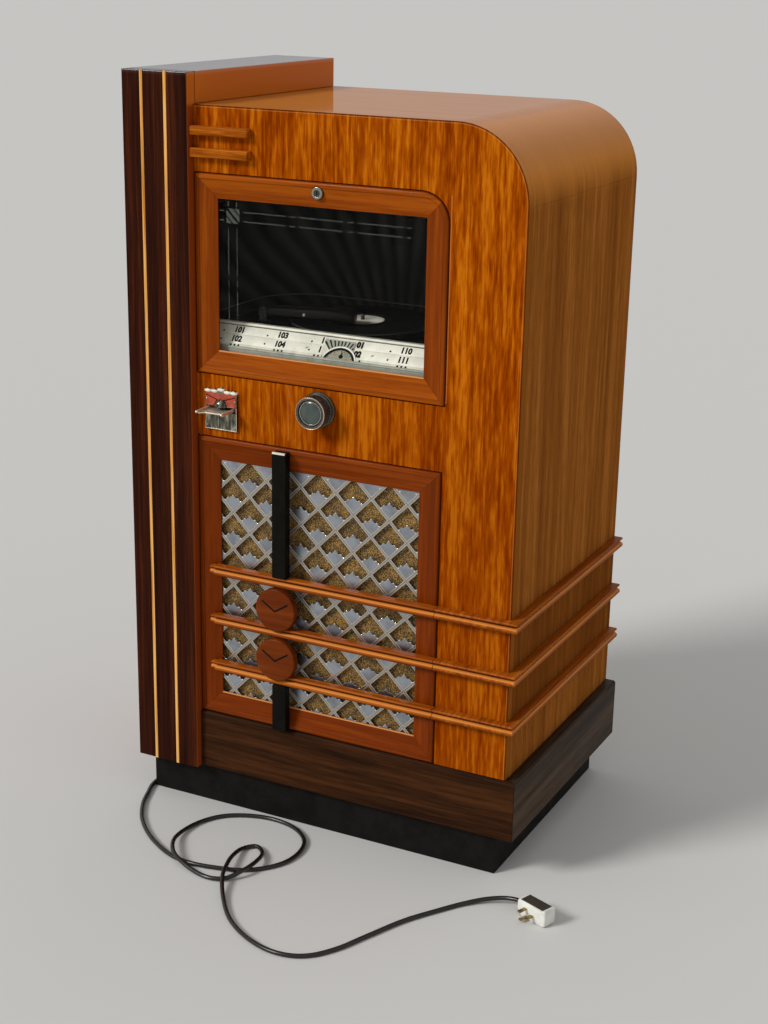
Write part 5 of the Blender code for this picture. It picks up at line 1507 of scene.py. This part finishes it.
@dataclass
class TitlePanel:
    """The sloping title panel in front of the deck: cards, numbers, a cream head strip and a half-round dial."""

    foot: tuple[float, float] = (0.0365, 0.8638)
    head: tuple[float, float] = (0.0698, 0.9035)
    columns: tuple[tuple[float, str, str], ...] = (
        (0.190, "101", "102"), (0.275, "103", "104"), (0.3522, "1", "1"), (0.4224, "01", "02"),
        (0.507, "110", "111"),
    )
    rows: tuple[float, float] = (0.0352, 0.0180)
    type_size: float = 0.0150
    type_depth: float = 0.00045
    cards: tuple[tuple[float, float], ...] = ((0.108, 0.3575), (0.4290, 0.704))
    pins: tuple[float, ...] = (0.160, 0.246, 0.332, 0.479, 0.556)
    ovals: tuple[float, ...] = (0.3270, 0.4500)
    dial: tuple[float, float] = (0.3920, -0.0048)
    hub: tuple[float, float] = (0.3940, 0.0101)
    hole: float = 0.0022

    def slope(self, x: float = 0.0, up: float = 0.0, squeeze: float = 1.0) -> Matrix:
        """A frame on the slope: x across, y up the slope and z out of it.

        Args:
            x: Place to the right of the pillar's left face.
            up: Distance up the slope from its foot.
            squeeze: Narrowing of what is put there.

        Returns:
            The frame.
        """
        rise = Vector((0, self.head[0] - self.foot[0], self.head[1] - self.foot[1])).normalized()
        axes = Matrix((Vector((1, 0, 0)), rise, Vector((0, -rise.z, rise.y)))).transposed().to_4x4()
        corner = Matrix.Translation((LEFT, deep(self.foot[0]), self.foot[1]))
        return corner @ axes @ Matrix.Translation((x, up, 0)) @ Matrix.Diagonal((squeeze, 1, 1, 1))

    def build(self) -> None:
        """Build the panel's fittings."""
        dress(CREAM, "title_panel")
        self.build_cards()
        self.build_numbers()
        self.build_dial()
        self.build_fan()
        self.build_pointer()

    def build_cards(self) -> None:
        """Two rows of card, the head strip with its dark lines, a grey foot strip and the apron under it."""
        place = self.slope()
        cards = [Skin.block((left, low, 0.0), (right, high, 0.0006), 0.00025)
                 for left, right in self.cards for low, high in ((0.0273, 0.0432), (0.0090, 0.0263))]
        shape("title_cards", [c.placed(place) for c in cards], CARD, "cabinet")
        left, right = WALL_LEFT, WALL_RIGHT
        head = Skin.block((left, 0.0454, 0.0), (right, 0.0500, 0.0024), 0.0010)
        shape("head_strip", head.placed(place), CARD, "cabinet")
        lines = [Skin.block((left, 0.0440, 0.0), (right, 0.0450, 0.0005), 0.0002),
                 Skin.block((left, 0.0504, 0.0), (right, 0.0514, 0.0007), 0.0002)]
        shape("head_lines", [line.placed(place) for line in lines], INK, "cabinet")
        foot = Skin.block((left, 0.0002, 0.0), (right, 0.0046, 0.0018), 0.0005)
        shape("foot_strip", foot.placed(place), STRIP_GREY, "cabinet")
        apron = Skin.block((wide(left), deep(0.0364), 0.8480), (wide(right), deep(0.0374), 0.8640), 0.0003)
        shape("panel_apron", apron, STRIP_GREY, "cabinet")
        mark = Skin.lathe([(0, 0.0008), (0.9, 0.0008), (1.0, 0.0005), (1.0, -0.0002), (0, -0.0002)], 20)
        oval = Matrix.Rotation(0.5, 4, "Z") @ Matrix.Diagonal((0.0030, 0.0017, 1, 1))
        marks = [mark.placed(self.slope(x, 0.0188) @ oval) for x in self.ovals]
        shape("card_marks", marks, STRIP_GREY, "cabinet")

    def build_numbers(self) -> None:
        """Selection numbers in two rows, with dots under them and pins in the cards."""
        lift = Matrix.Translation((0, 0, self.type_depth))
        words = [(word, self.slope(x, up, 0.90) @ lift)
                 for x, *pair in self.columns for word, up in zip(pair, self.rows)]
        settle("selection_numbers", lettering(words, self.type_size, self.type_depth, 0.050), INK, "cabinet")
        dot = Skin.lathe([(0, 0.0014), (0.0013, 0.0012), (0.0019, 0.0004), (0.0019, -0.0002), (0, -0.0002)], 12)
        spots = [(x + step, 0.0065) for x, *_ in self.columns for step in (-0.0075, 0.0, 0.0075)
                 if abs(x + step - self.dial[0]) > 0.032]
        spots += [(x, up) for x in self.pins for up in (0.0315, 0.0155)]
        shape("card_pins", [dot.placed(self.slope(x, up)) for x, up in spots], INK, "cabinet")

    def build_dial(self) -> None:
        """The dial: less than half a disc with a hole for the pointer's shaft, and two rims and ticks round it."""
        place = self.slope(*self.dial)
        at = Vector(self.hub) - Vector(self.dial)
        mid, gap = math.degrees(math.atan2(at.y, at.x)), math.degrees(self.hole / at.length)
        near, far = at.length - self.hole, at.length + self.hole
        face = [sector(0.0085, near, 37, 143, 0.0, 0.0003, 48), sector(far, 0.0268, 17, 163, 0.0, 0.0003, 48),
                sector(near, far, 23, mid - gap, 0.0, 0.0003), sector(near, far, mid + gap, 157, 0.0, 0.0003)]
        shape("dial_face", [f.placed(place) for f in face], DIAL_GREEN, "cabinet")
        shape("dial_rim", sector(0.0268, 0.0306, 11, 169, 0.0, 0.0015, 48).placed(place), INK, "cabinet")
        shape("dial_edge", sector(0.0308, 0.0334, 10, 170, 0.0, 0.0013, 48).placed(place), CARD, "cabinet")
        ticks = [Skin.block((0.0238, -0.0004, 0.0), (0.0262, 0.0004, 0.0006), 0.0001)
                 .placed(place @ Matrix.Rotation(math.radians(a), 4, "Z")) for a in range(30, 151, 15)]
        shape("dial_ticks", ticks, INK, "cabinet")

    def build_fan(self) -> None:
        """The plate above the dial, with dark wedges fanning out on it.

        Its outer radius at angle a is the lesser of height / sin a and width / |cos a|, its square edges.
        """
        place = self.slope(*self.dial)
        turn = np.radians(np.linspace(48, 134, 30))
        width = np.where(turn < np.pi / 2, 0.0216, 0.0360) / np.maximum(np.abs(np.cos(turn)), 0.001)
        outer = np.maximum(np.minimum(0.0443 / np.sin(turn), width), 0.0340)
        plate = sector(0.0336, outer, 48, 134, 0.0, 0.0011, 30)
        shape("dial_fan", plate.placed(place), STRIP_GREY, "cabinet")
        reaches = {58: 0.0385, 67: 0.044, 76: 0.044, 86: 0.044, 95: 0.044, 104: 0.044, 113: 0.046, 122: 0.050,
                   131: 0.052}
        wedges = [sector(0.0345, min(0.0430 / math.sin(math.radians(a)), reach), a - 1.7, a + 1.7, 0.0, 0.0014, 3)
                  for a, reach in reaches.items()]
        shape("dial_wedges", [wedge.placed(place) for wedge in wedges], INK, "cabinet")

    def build_pointer(self) -> None:
        """The pointer: a domed hub on its shaft, and a short tapered needle over the dial's face."""
        place = self.slope(*self.hub)
        hub = Skin.lathe([(0, 0.0024), (0.0026, 0.0022), (0.0034, 0.0016), (0.0034, 0.0004), (0.0016, 0.0004),
                          (0.0016, -0.0060), (0.0055, -0.0060), (0.0055, -0.0085), (0, -0.0085)], 24)
        needle = Skin.swept([np.array([(x, y, 0.0008), (-x, y, 0.0008), (-x, y, 0.0014), (x, y, 0.0014)])
                             for x, y in ((-0.0012, 0.0), (-0.0003, 0.0092))])
        shape("short_pointer", [hub.placed(place), needle.placed(place)], INK, "pointer", ["dial_pointer"])


@dataclass
class Tonearm:
    """The pickup arm: a streamlined moulding that widens to a broad head, on a dark post."""

    post: tuple[float, float] = (0.215, 0.098)
    turn: float = 19.0
    pivot: float = 0.920
    needle: float = 0.148
    squareness: float = 0.6
    stations: tuple[tuple[float, float, float, float], ...] = (
        (-0.0095, 0.0060, 0.9150, 0.9250), (-0.0085, 0.0070, 0.9145, 0.9255), (0.0080, 0.0074, 0.9130, 0.9275),
        (0.0130, 0.0085, 0.9120, 0.9285), (0.0500, 0.0130, 0.9110, 0.9295), (0.0900, 0.0190, 0.9095, 0.9310),
        (0.1200, 0.0245, 0.9075, 0.9315), (0.1430, 0.0250, 0.9060, 0.9300), (0.1545, 0.0232, 0.9060, 0.9276),
        (0.1575, 0.0212, 0.9066, 0.9258), (0.1585, 0.0185, 0.9078, 0.9238),
    )

    def place(self) -> Matrix:
        """The arm's frame: x along it from the post, z up from the floor."""
        post = Matrix.Translation((wide(self.post[0]), deep(self.post[1]), 0))
        return post @ Matrix.Rotation(math.radians(self.turn), 4, "Z")

    def build(self) -> None:
        """Build the arm and dress its post."""
        dress(ENAMEL, "tonearm_base", "tonearm_yoke")
        self.build_arm()

    def build_arm(self) -> None:
        """Sweep a rounded box section, half |cos|^n by tall |sin|^n with their signs, along smoothed stations."""
        given = np.array(self.stations)
        along = np.concatenate([given[:4, 0], np.linspace(0.02, 0.14, 26), given[7:, 0]])
        half, low, high = (np.interp(along, given[:, 0], given[:, i]) for i in (1, 2, 3))
        smooth = slice(5, -6)
        for line in (half, low, high):
            line[smooth] = np.convolve(np.pad(line, 2, "edge"), np.ones(5) / 5, "valid")[smooth]
        angle = np.arange(36) * (2 * np.pi / 36)
        cos, sin = np.cos(angle), np.sin(angle)
        across = np.sign(cos) * np.abs(cos) ** self.squareness
        above = np.sign(sin) * np.abs(sin) ** self.squareness
        y = half[:, None] * across
        z = ((low + high) / 2)[:, None] + ((high - low) / 2)[:, None] * above
        rings = np.stack([np.broadcast_to(along[:, None], y.shape), y, z], axis=-1)
        pin = Skin.lathe([(0, -0.0118), (0.0015, -0.0116), (0.0015, 0.0116), (0, 0.0118)], 16)
        needle = Skin.lathe([(0, 0.9017), (0.0004, 0.9021), (0.0009, 0.9050), (0.0009, 0.912), (0, 0.912)], 12)
        sideways = Matrix.Rotation(math.radians(90), 4, "X")
        parts = [Skin.swept(list(rings)), pin.placed(Matrix.Translation((0, 0, self.pivot)) @ sideways),
                 needle.placed(Matrix.Translation((self.needle, 0, 0)))]
        parts = [part.placed(self.place()) for part in parts]
        shape("pickup_arm", parts, BAKELITE, "tonearm_lever", ["tonearm"], 30)
        stud = Skin.lathe([(0, 0.0018), (0.0018, 0.0015), (0.0027, 0.0004), (0.0027, -0.0010), (0, -0.0010)], 20)
        side = self.place() @ Matrix.Translation((0.072, -0.0165, 0.9195)) @ sideways
        shape("arm_rivet", stud.placed(side), BRIGHT, "tonearm_lever")


# ---------------------------------------------------------------- fittings of the front


@dataclass
class CoinSlide:
    """The coin plate with its enamelled field and screws, and the push slide."""

    x: tuple[float, float] = (0.146, 0.210)
    front: float = 0.0135
    screws: tuple[tuple[float, float], ...] = ((0.1500, 0.7760), (0.2058, 0.7765), (0.1505, 0.7300), (0.2052, 0.7300))

    def build(self) -> None:
        """Dress the plate and the slide and add what is fixed to the plate."""
        polish("coin_plate", PLATE, 0.0006)
        polish("coin_slide", SLIDE, 0.0003)
        dress(STEEL, "coin_chute", "cash_box")
        self.build_field()
        self.build_trim()
        self.build_screws()

    def sheets(self, corners: Sequence[tuple[float, float, float, float]], back: float, proud: float,
               ease: float) -> list[Skin]:
        """Thin blocks let into the plate's face.

        Args:
            corners: Left, bottom, right and top of each.
            back: How far each reaches into the plate.
            proud: How far each lies behind the plate's front.
            ease: Radius of their edges.

        Returns:
            Their surfaces.
        """
        return [Skin.block((wide(left), deep(self.front - back), bottom), (wide(right), deep(self.front + proud), top),
                           ease) for left, bottom, right, top in corners]

    def build_field(self) -> None:
        """Red enamel above and beside the slot, with two dark strips on it that meet in a V."""
        low, high = self.x
        field = [(low + 0.0014, 0.7656, high - 0.0014, 0.7880), (low + 0.0008, 0.7545, low + 0.0030, 0.7662),
                 (high - 0.0030, 0.7545, high - 0.0008, 0.7662)]
        shape("enamel_field", self.sheets(field, 0.0007, 0.0, 0.0003), RED, "cabinet")
        middle, foot, head = (low + high) / 2, 0.7740, 0.7838
        strips = []
        for end in (low + 0.0030, high - 0.0030):
            run = Vector((end - middle, head - foot))
            bar = Skin.block((0.0, -0.0007, 0.0), (run.length, 0.0007, 0.0013), 0.0003)
            strips.append(bar.placed(facing(wide(middle), deep(self.front), foot, math.atan2(run.y, run.x))))
        shape("field_strips", strips, INK, "cabinet")

    def build_trim(self) -> None:
        """Five white lobes along the plate's top, the middle one higher, a painted highlight for the light that the
        chrome scallops reflect; and bright rims at its right and foot.
        """
        low, high = self.x
        # Painted highlight: white enamel lobes stand where the chrome scallops catch the light.
        lobe = Skin.lathe([(0, 0.0018), (0.6, 0.0015), (0.9, 0.0007), (1.0, 0.0), (1.0, -0.0042), (0, -0.0042)], 24)
        oval = Matrix.Diagonal((0.0070, 0.0030, 1, 1))
        places = [(low + 0.0064 + i * 0.0128, 0.7905 + rise) for i, rise in enumerate((0, 0, 0.0032, 0, 0))]
        lobes = [lobe.placed(facing(wide(x), deep(self.front), z) @ oval) for x, z in places]
        shape("plate_lobes", lobes, WHITE_ENAMEL, "cabinet")
        rims = [(high - 0.0017, 0.7240, high - 0.0003, 0.7650), (low + 0.0004, 0.7234, high - 0.0003, 0.7248)]
        shape("plate_rims", self.sheets(rims, 0.0006, 0.0003, 0.0002), BRIGHT, "cabinet")

    def build_screws(self) -> None:
        """Round heads at the plate's corners, each with a slot: a dark bar let into the head."""
        head = Skin.lathe([(0, 0.0013), (0.0008, 0.0012), (0.0014, 0.0007), (0.0017, 0.0), (0, -0.0003)], 16)
        slot = Skin.block((-0.0013, -0.0002, 0.0006), (0.0013, 0.0002, 0.0014), 0.0001)
        places = [(x, z, 0.0007 if z > 0.76 else 0.0, 0.5 + 0.8 * i) for i, (x, z) in enumerate(self.screws)]
        frames = [facing(wide(x), deep(self.front - lift), z, turn) for x, z, lift, turn in places]
        shape("plate_screws", [head.placed(f) for f in frames], CHROME, "cabinet")
        shape("screw_slots", [slot.placed(f) for f in frames], INK, "cabinet")


@dataclass
class Selector:
    """The selector knob: knurled body, metal band, glossy disc and its bright rim, on a ring."""

    at: tuple[float, float] = (0.368, 0.784)

    def build(self) -> None:
        """Build the knob; heights are toward the front from the pillar's face."""
        place = facing(wide(self.at[0]), deep(0), self.at[1])
        grip = [(0, 0.0100), (0.0222, 0.0100), (0.0226, 0.0138), (0.0266, 0.0138), (0.0271, 0.0128), (0.0271, 0.0114),
                (0.0262, 0.0106), (0.0268, 0.0100), (0.0270, 0.0092), (0.0270, -0.0076), (0.0266, -0.0084),
                (0.0262, -0.0092), (0.0273, -0.0100), (0.0275, -0.0118), (0.0270, -0.0122), (0.0036, -0.0122),
                (0.0036, -0.063), (0.014, -0.063), (0.0125, -0.066), (0.014, -0.069), (0.0036, -0.069),
                (0.0036, -0.075), (0, -0.075)]
        knurled = Skin.lathe(grip, 240, 60, 0.055, (7, 11)).placed(place)
        shape("knob_grip", knurled, KNOB_GREY, "selector", ["selector_knob"], 30)
        band = [(0.0227, 0.0132), (0.0227, 0.0149), (0.0231, 0.0153), (0.0266, 0.0153), (0.0273, 0.0148),
                (0.0274, 0.0136), (0.0270, 0.0132)]
        shape("knob_band", Skin.lathe(band, 96, ring=True).placed(place), KNOB_BAND, "selector")
        disc = [(0, 0.0138), (0.0080, 0.0137), (0.0150, 0.0133), (0.0186, 0.0125), (0.0194, 0.0116), (0.0194, 0.0098),
                (0, 0.0098)]
        shape("knob_disc", Skin.lathe(disc, 96).placed(place), KNOB_FACE, "selector")
        edge = [(0.0262, 0.0150), (0.0262, 0.0156), (0.0266, 0.0159), (0.0272, 0.0155), (0.0275, 0.0148),
                (0.0272, 0.0146)]
        shape("knob_band_edge", Skin.lathe(edge, 96, ring=True).placed(place), BRIGHT, "selector")
        rim = [(0.0191, 0.0098), (0.0191, 0.0124), (0.0196, 0.0132), (0.0203, 0.0132), (0.0210, 0.0122),
               (0.0210, 0.0098)]
        shape("knob_disc_rim", Skin.lathe(rim, 96, ring=True).placed(place), CHROME, "selector")
        polish("knob_ring", RING, 0.0002)


# ---------------------------------------------------------------- sound


@dataclass
class Sound:
    """The loudspeaker behind the cloth, and the amplifier on the floor board."""

    at: tuple[float, float] = (0.420, 0.400)
    mount: float = 0.1003

    def build(self) -> None:
        """Dress the basket and the chassis and build the cone."""
        polish("speaker_frame", ENAMEL, 0.0005)
        polish("amplifier", STEEL, 0.0006)
        self.build_cone()

    def build_cone(self) -> None:
        """A paper cone in one turned wall: dust cap, ribbed cone, and a surround of two waves."""
        place = facing(wide(self.at[0]), deep(self.mount), self.at[1])
        run = np.linspace(0, 1, 40)
        front_r = 0.030 + run * 0.092
        front_h = -0.0525 + run ** 0.9 * 0.0455 + 0.0006 * np.sin(run * 12 * np.pi)
        wave_r = np.linspace(0.1225, 0.1330, 16)
        wave_h = -0.0062 + 0.0017 * np.sin((wave_r - 0.1225) / 0.0105 * 4 * np.pi)
        cap = [(0, -0.0440), (0.012, -0.0452), (0.022, -0.0485), (0.0285, -0.0530)]
        front = cap + list(zip(front_r, front_h)) + list(zip(wave_r, wave_h))
        back = [(0.1330, -0.0078), (0.1225, -0.0084), (0.0300, -0.0700), (0, -0.0700)]
        shape("ribbed_cone", Skin.lathe(front + back, 64).placed(place), PAPER, "cabinet", ["speaker_cone"], 60)


# ---------------------------------------------------------------- lead


@dataclass
class Lead:
    """The mains lead on the floor, with its strain relief and plug."""

    radius: float = 0.00375
    length: float = 2.785
    plug_at: tuple[float, float] = (0.8003, -0.0587)
    plug_turn: float = -21.4
    blades: tuple[tuple[float, float], ...] = ((0.0170, 0.0180), (0.0320, 0.0110), (0.0200, 0.0045))
    route: tuple[tuple[float, float, float], ...] = (
        (60, 523.3, 12), (60, 533, 12), (59.5, 550, 10.5), (52, 568, 7), (34, 580, 4), (10, 582, 4), (-16, 568, 4),
        (-31, 537, 4), (-30, 500, 4), (-17, 462, 4), (0, 426, 4), (7, 390, 4), (8, 330, 4), (8, 250, 4), (8, 170, 4),
        (8, 90, 4), (8.2, 50, 4), (9.0, 33, 4), (12.5, 16, 4), (21, -6, 4), (38, -48, 4), (70, -98, 4),
        (120, -146, 4), (190, -186, 4), (235, -193, 4), (282, -186, 4), (325, -172, 4), (356, -148, 4),
        (378, -112, 4), (382, -68, 4), (368, -28, 4), (330, 3, 4), (280, 13, 4), (233, 3, 4), (194, -21, 4),
        (169, -62, 4), (164, -118, 7), (178, -161, 12.6), (205, -194, 12.6), (254, -214, 5), (292, -220, 4),
        (318, -211, 6), (336, -184, 12.2), (340, -146, 12.2), (327, -104, 5.5), (305, -88, 4), (290, -106, 5),
        (292, -145, 10.5), (302, -182, 12.8), (316, -218, 12.8), (345, -263, 6), (391, -316, 4), (446, -352, 4),
        (497, -367, 4), (534, -363, 4), (561, -347, 4), (587, -312, 4), (612, -256, 4), (644, -185, 4),
        (679, -130, 4), (708, -90, 4.5), (738, -64, 8), (768, -54, 13), (791, -55, 16), (800.0, -58.5, 16),
    )

    def build(self) -> None:
        relief = self.build_relief()
        plug = self.build_plug()
        curve = bpy.data.curves.new("mains_lead", "CURVE")
        curve.dimensions = "3D"
        curve.bevel_depth = self.radius
        curve.bevel_resolution = 5
        curve.use_fill_caps = True
        line = self.smooth_line()
        spline = curve.splines.new("POLY")
        spline.points.add(len(line) - 1)
        spline.points.foreach_set("co", np.hstack([line, np.ones((len(line), 1))]).ravel())
        curve.materials.append(RUBBER.material())
        piece = bpy.data.objects.new("mains_lead", curve)
        bpy.context.scene.collection.objects.link(piece)
        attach(piece, "cabinet")
        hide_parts("power_cord")
        LOG.info("mains_lead: %d points", len(line))

    def smooth_line(self) -> np.ndarray:
        """Centripetal Catmull-Rom curve through the route: each point is a blend of blends of its neighbours.

        Returns:
            The curve's points in the part's frame.
        """
        route = np.array(self.route, float) / 1000 + np.array([LEFT, FACE, 0.0])
        padded = np.vstack([2 * route[0] - route[1], route, 2 * route[-1] - route[-2]])
        p0, p1, p2, p3 = padded[:-3, None], padded[1:-2, None], padded[2:-1, None], padded[3:, None]
        knots = [np.sqrt(np.linalg.norm(b - a, axis=2, keepdims=True)) for a, b in ((p0, p1), (p1, p2), (p2, p3))]
        t1 = knots[0]
        t2 = t1 + knots[1]
        t3 = t2 + knots[2]
        t = t1 + (t2 - t1) * np.linspace(0, 1, 8, endpoint=False)[None, :, None]
        a1 = p0 * (t1 - t) / t1 + p1 * t / t1
        a2 = p1 * (t2 - t) / (t2 - t1) + p2 * (t - t1) / (t2 - t1)
        a3 = p2 * (t3 - t) / (t3 - t2) + p3 * (t - t2) / (t3 - t2)
        b1 = a1 * (t2 - t) / t2 + a2 * t / t2
        b2 = a2 * (t3 - t) / (t3 - t1) + a3 * (t - t1) / (t3 - t1)
        fine = np.vstack([(b1 * (t2 - t) / (t2 - t1) + b2 * (t - t1) / (t2 - t1)).reshape(-1, 3), route[-1]])
        fine[:, 2] = np.maximum(fine[:, 2], self.radius + 0.00012)
        return fine

    def build_relief(self) -> bpy.types.Object:
        """The ribbed rubber sleeve at the back panel: rings that step down toward the lead.

        Returns:
            The sleeve.
        """
        low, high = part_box("strain_relief")
        reach = high.y - low.y
        ribs = [(0.0046 + 0.0012 * (i % 2) + 0.0010 * (1 - i / 9), reach - 0.002 - (9 - i) * 0.0019)
                for i in reversed(range(10))]
        profile = [(0, reach), (0.0044, reach)] + ribs
        profile = [p for p in profile if p[1] > 0.0096] + [
            (0.0072, 0.0092), (0.0075, 0.0086), (0.0075, 0.0066), (0.0072, 0.0063), (0.0045, 0.0063), (0.0045, 0.0),
            (0, 0)]
        place = Matrix.Translation(((low.x + high.x) / 2, low.y, 0.012)) @ Matrix.Rotation(math.radians(-90), 4, "X")
        return shape("ribbed_sleeve", Skin.lathe(profile, 32).placed(place), RUBBER, "cabinet", ["strain_relief"])

    def plug_frame(self) -> Matrix:
        """Where the plug stands on the floor."""
        place = Matrix.Translation((wide(self.plug_at[0]), deep(self.plug_at[1]), 0.0))
        return place @ Matrix.Rotation(math.radians(self.plug_turn), 4, "Z")

    def build_plug(self) -> bpy.types.Object:
        """The plug: one outline swept through its thickness, shrinking toward each face, with an insert and blades.

        Returns:
            The plug's body.
        """
        outline = np.array([(0.0022, 0.0292), (0.0, 0.0258), (0.0, 0.0120), (0.0090, 0.0012), (0.0125, 0.0),
                            (0.0500, 0.0), (0.0560, 0.0), (0.0600, 0.0014), (0.0620, 0.0050), (0.0620, 0.0285),
                            (0.0600, 0.0310), (0.0560, 0.0300), (0.0545, 0.0288), (0.0080, 0.0290)])
        middle = np.array([0.031, 0.0150])
        stations = []
        for y, shrink in ((-0.0135, 0.0026), (-0.0128, 0.0010), (-0.0115, 0.0002), (-0.0100, 0.0),
                          (0.0100, 0.0), (0.0115, 0.0002), (0.0128, 0.0010), (0.0135, 0.0026)):
            flat = middle + (outline - middle) * (1 - shrink / middle)
            stations.append(np.column_stack([flat[:, 0], np.full(len(flat), y), flat[:, 1]]))
        place = self.plug_frame()
        body = shape("plug_body", Skin.swept(stations).placed(place), PLUG_WHITE, "cabinet", ["plug"], 45)
        insert = Skin.block((0.0055, -0.0105, 0.0270), (0.0545, 0.0118, 0.0297), 0.0008)
        shape("plug_insert", insert.placed(place), PLUG_BROWN, "cabinet")
        blades = [Skin.block((x, -0.0305, z), (x + 0.0063, -0.0120, z + 0.0030), 0.0006) for x, z in self.blades]
        collars = [Skin.block((x - 0.001, -0.0146, z - 0.001), (x + 0.0073, -0.0130, z + 0.004), 0.0004)
                   for x, z in self.blades]
        shape("plug_blades", [b.placed(place) for b in blades], BRASS, "cabinet")
        shape("plug_collars", [c.placed(place) for c in collars], PLUG_WHITE, "cabinet")
        return body


# ---------------------------------------------------------------- studio


@dataclass
class Studio:
    """Camera, floor, sky and one soft key light."""

    eye: tuple[float, float, float] = (1.3496, -2.6906, 1.5164)
    yaw: float = 26.5466
    pitch: float = -17.9273
    roll: float = 1.0717
    lens: float = 61.28
    sky: float = 0.62
    sky_colour: Colour = (236, 238, 240)
    floor_colour: Colour = (206, 204, 200)
    key: float = 2.15
    key_angle: float = 16.0
    key_from: tuple[float, float, float] = (-0.80, -1.0, 0.86)

    def build(self) -> None:
        """Set the stage."""
        self.build_camera()
        self.build_floor()
        self.build_light()
        bpy.context.scene.view_settings.view_transform = "Standard"

    def build_camera(self) -> None:
        """The camera that took the reference view."""
        yaw, pitch, roll = (math.radians(v) for v in (self.yaw, self.pitch, self.roll))
        ahead = Vector((-math.sin(yaw) * math.cos(pitch), math.cos(yaw) * math.cos(pitch), math.sin(pitch)))
        right = Vector((math.cos(yaw), math.sin(yaw), 0))
        up = right.cross(ahead)
        across = right * math.cos(roll) + up * math.sin(roll)
        above = up * math.cos(roll) - right * math.sin(roll)
        view = bpy.data.cameras.new("view")
        view.lens, view.sensor_width, view.sensor_fit = self.lens, 36.0, "AUTO"
        view.clip_start, view.clip_end = 0.05, 400.0
        camera = bpy.data.objects.new("view", view)
        bpy.context.scene.collection.objects.link(camera)
        camera.matrix_world = Matrix.Translation(self.eye) @ Matrix((across, above, -ahead)).transposed().to_4x4()
        bpy.context.scene.camera = camera

    def build_floor(self) -> None:
        """A plain pale floor."""
        corners = np.array([[(-60.0, -60.0, 0.0), (-60.0, 120.0, 0.0)], [(60.0, -60.0, 0.0), (60.0, 120.0, 0.0)]])
        mesh = bpy.data.meshes.new("floor")
        mesh.from_pydata(corners.reshape(-1, 3).tolist(), [], [(0, 2, 3, 1)])
        graph = Graph("pale_floor", {"Roughness": 0.8, "Base Color": linear(self.floor_colour)})
        mesh.materials.append(graph.material)
        floor = bpy.data.objects.new("floor", mesh)
        bpy.context.scene.collection.objects.link(floor)

    def build_light(self) -> None:
        """An even pale sky, and a broad key light from the front left."""
        world = bpy.data.worlds.new("sky")
        bpy.context.scene.world = world
        world.use_nodes = True
        sky = world.node_tree.nodes["Background"]
        sky.inputs["Color"].default_value = linear(self.sky_colour)
        sky.inputs["Strength"].default_value = self.sky
        lamp = bpy.data.lights.new("key", "SUN")
        lamp.energy, lamp.angle = self.key, math.radians(self.key_angle)
        light = bpy.data.objects.new("key", lamp)
        bpy.context.scene.collection.objects.link(light)
        light.matrix_world = Vector(self.key_from).to_track_quat("Z", "Y").to_matrix().to_4x4()


def main() -> None:
    """Build the record player and its studio, in order."""
    logging.basicConfig(level=logging.INFO, format="%(message)s")
    for assembly in (Studio(), Lead(), Pillar(), Shell(), Front(), WindowDoor(), GrilleDoor(), Deck(), TitlePanel(),
                     Tonearm(), CoinSlide(), Selector(), Sound()):
        LOG.info("-- %s", type(assembly).__name__)
        assembly.build()


if __name__ == "__main__":
    main()
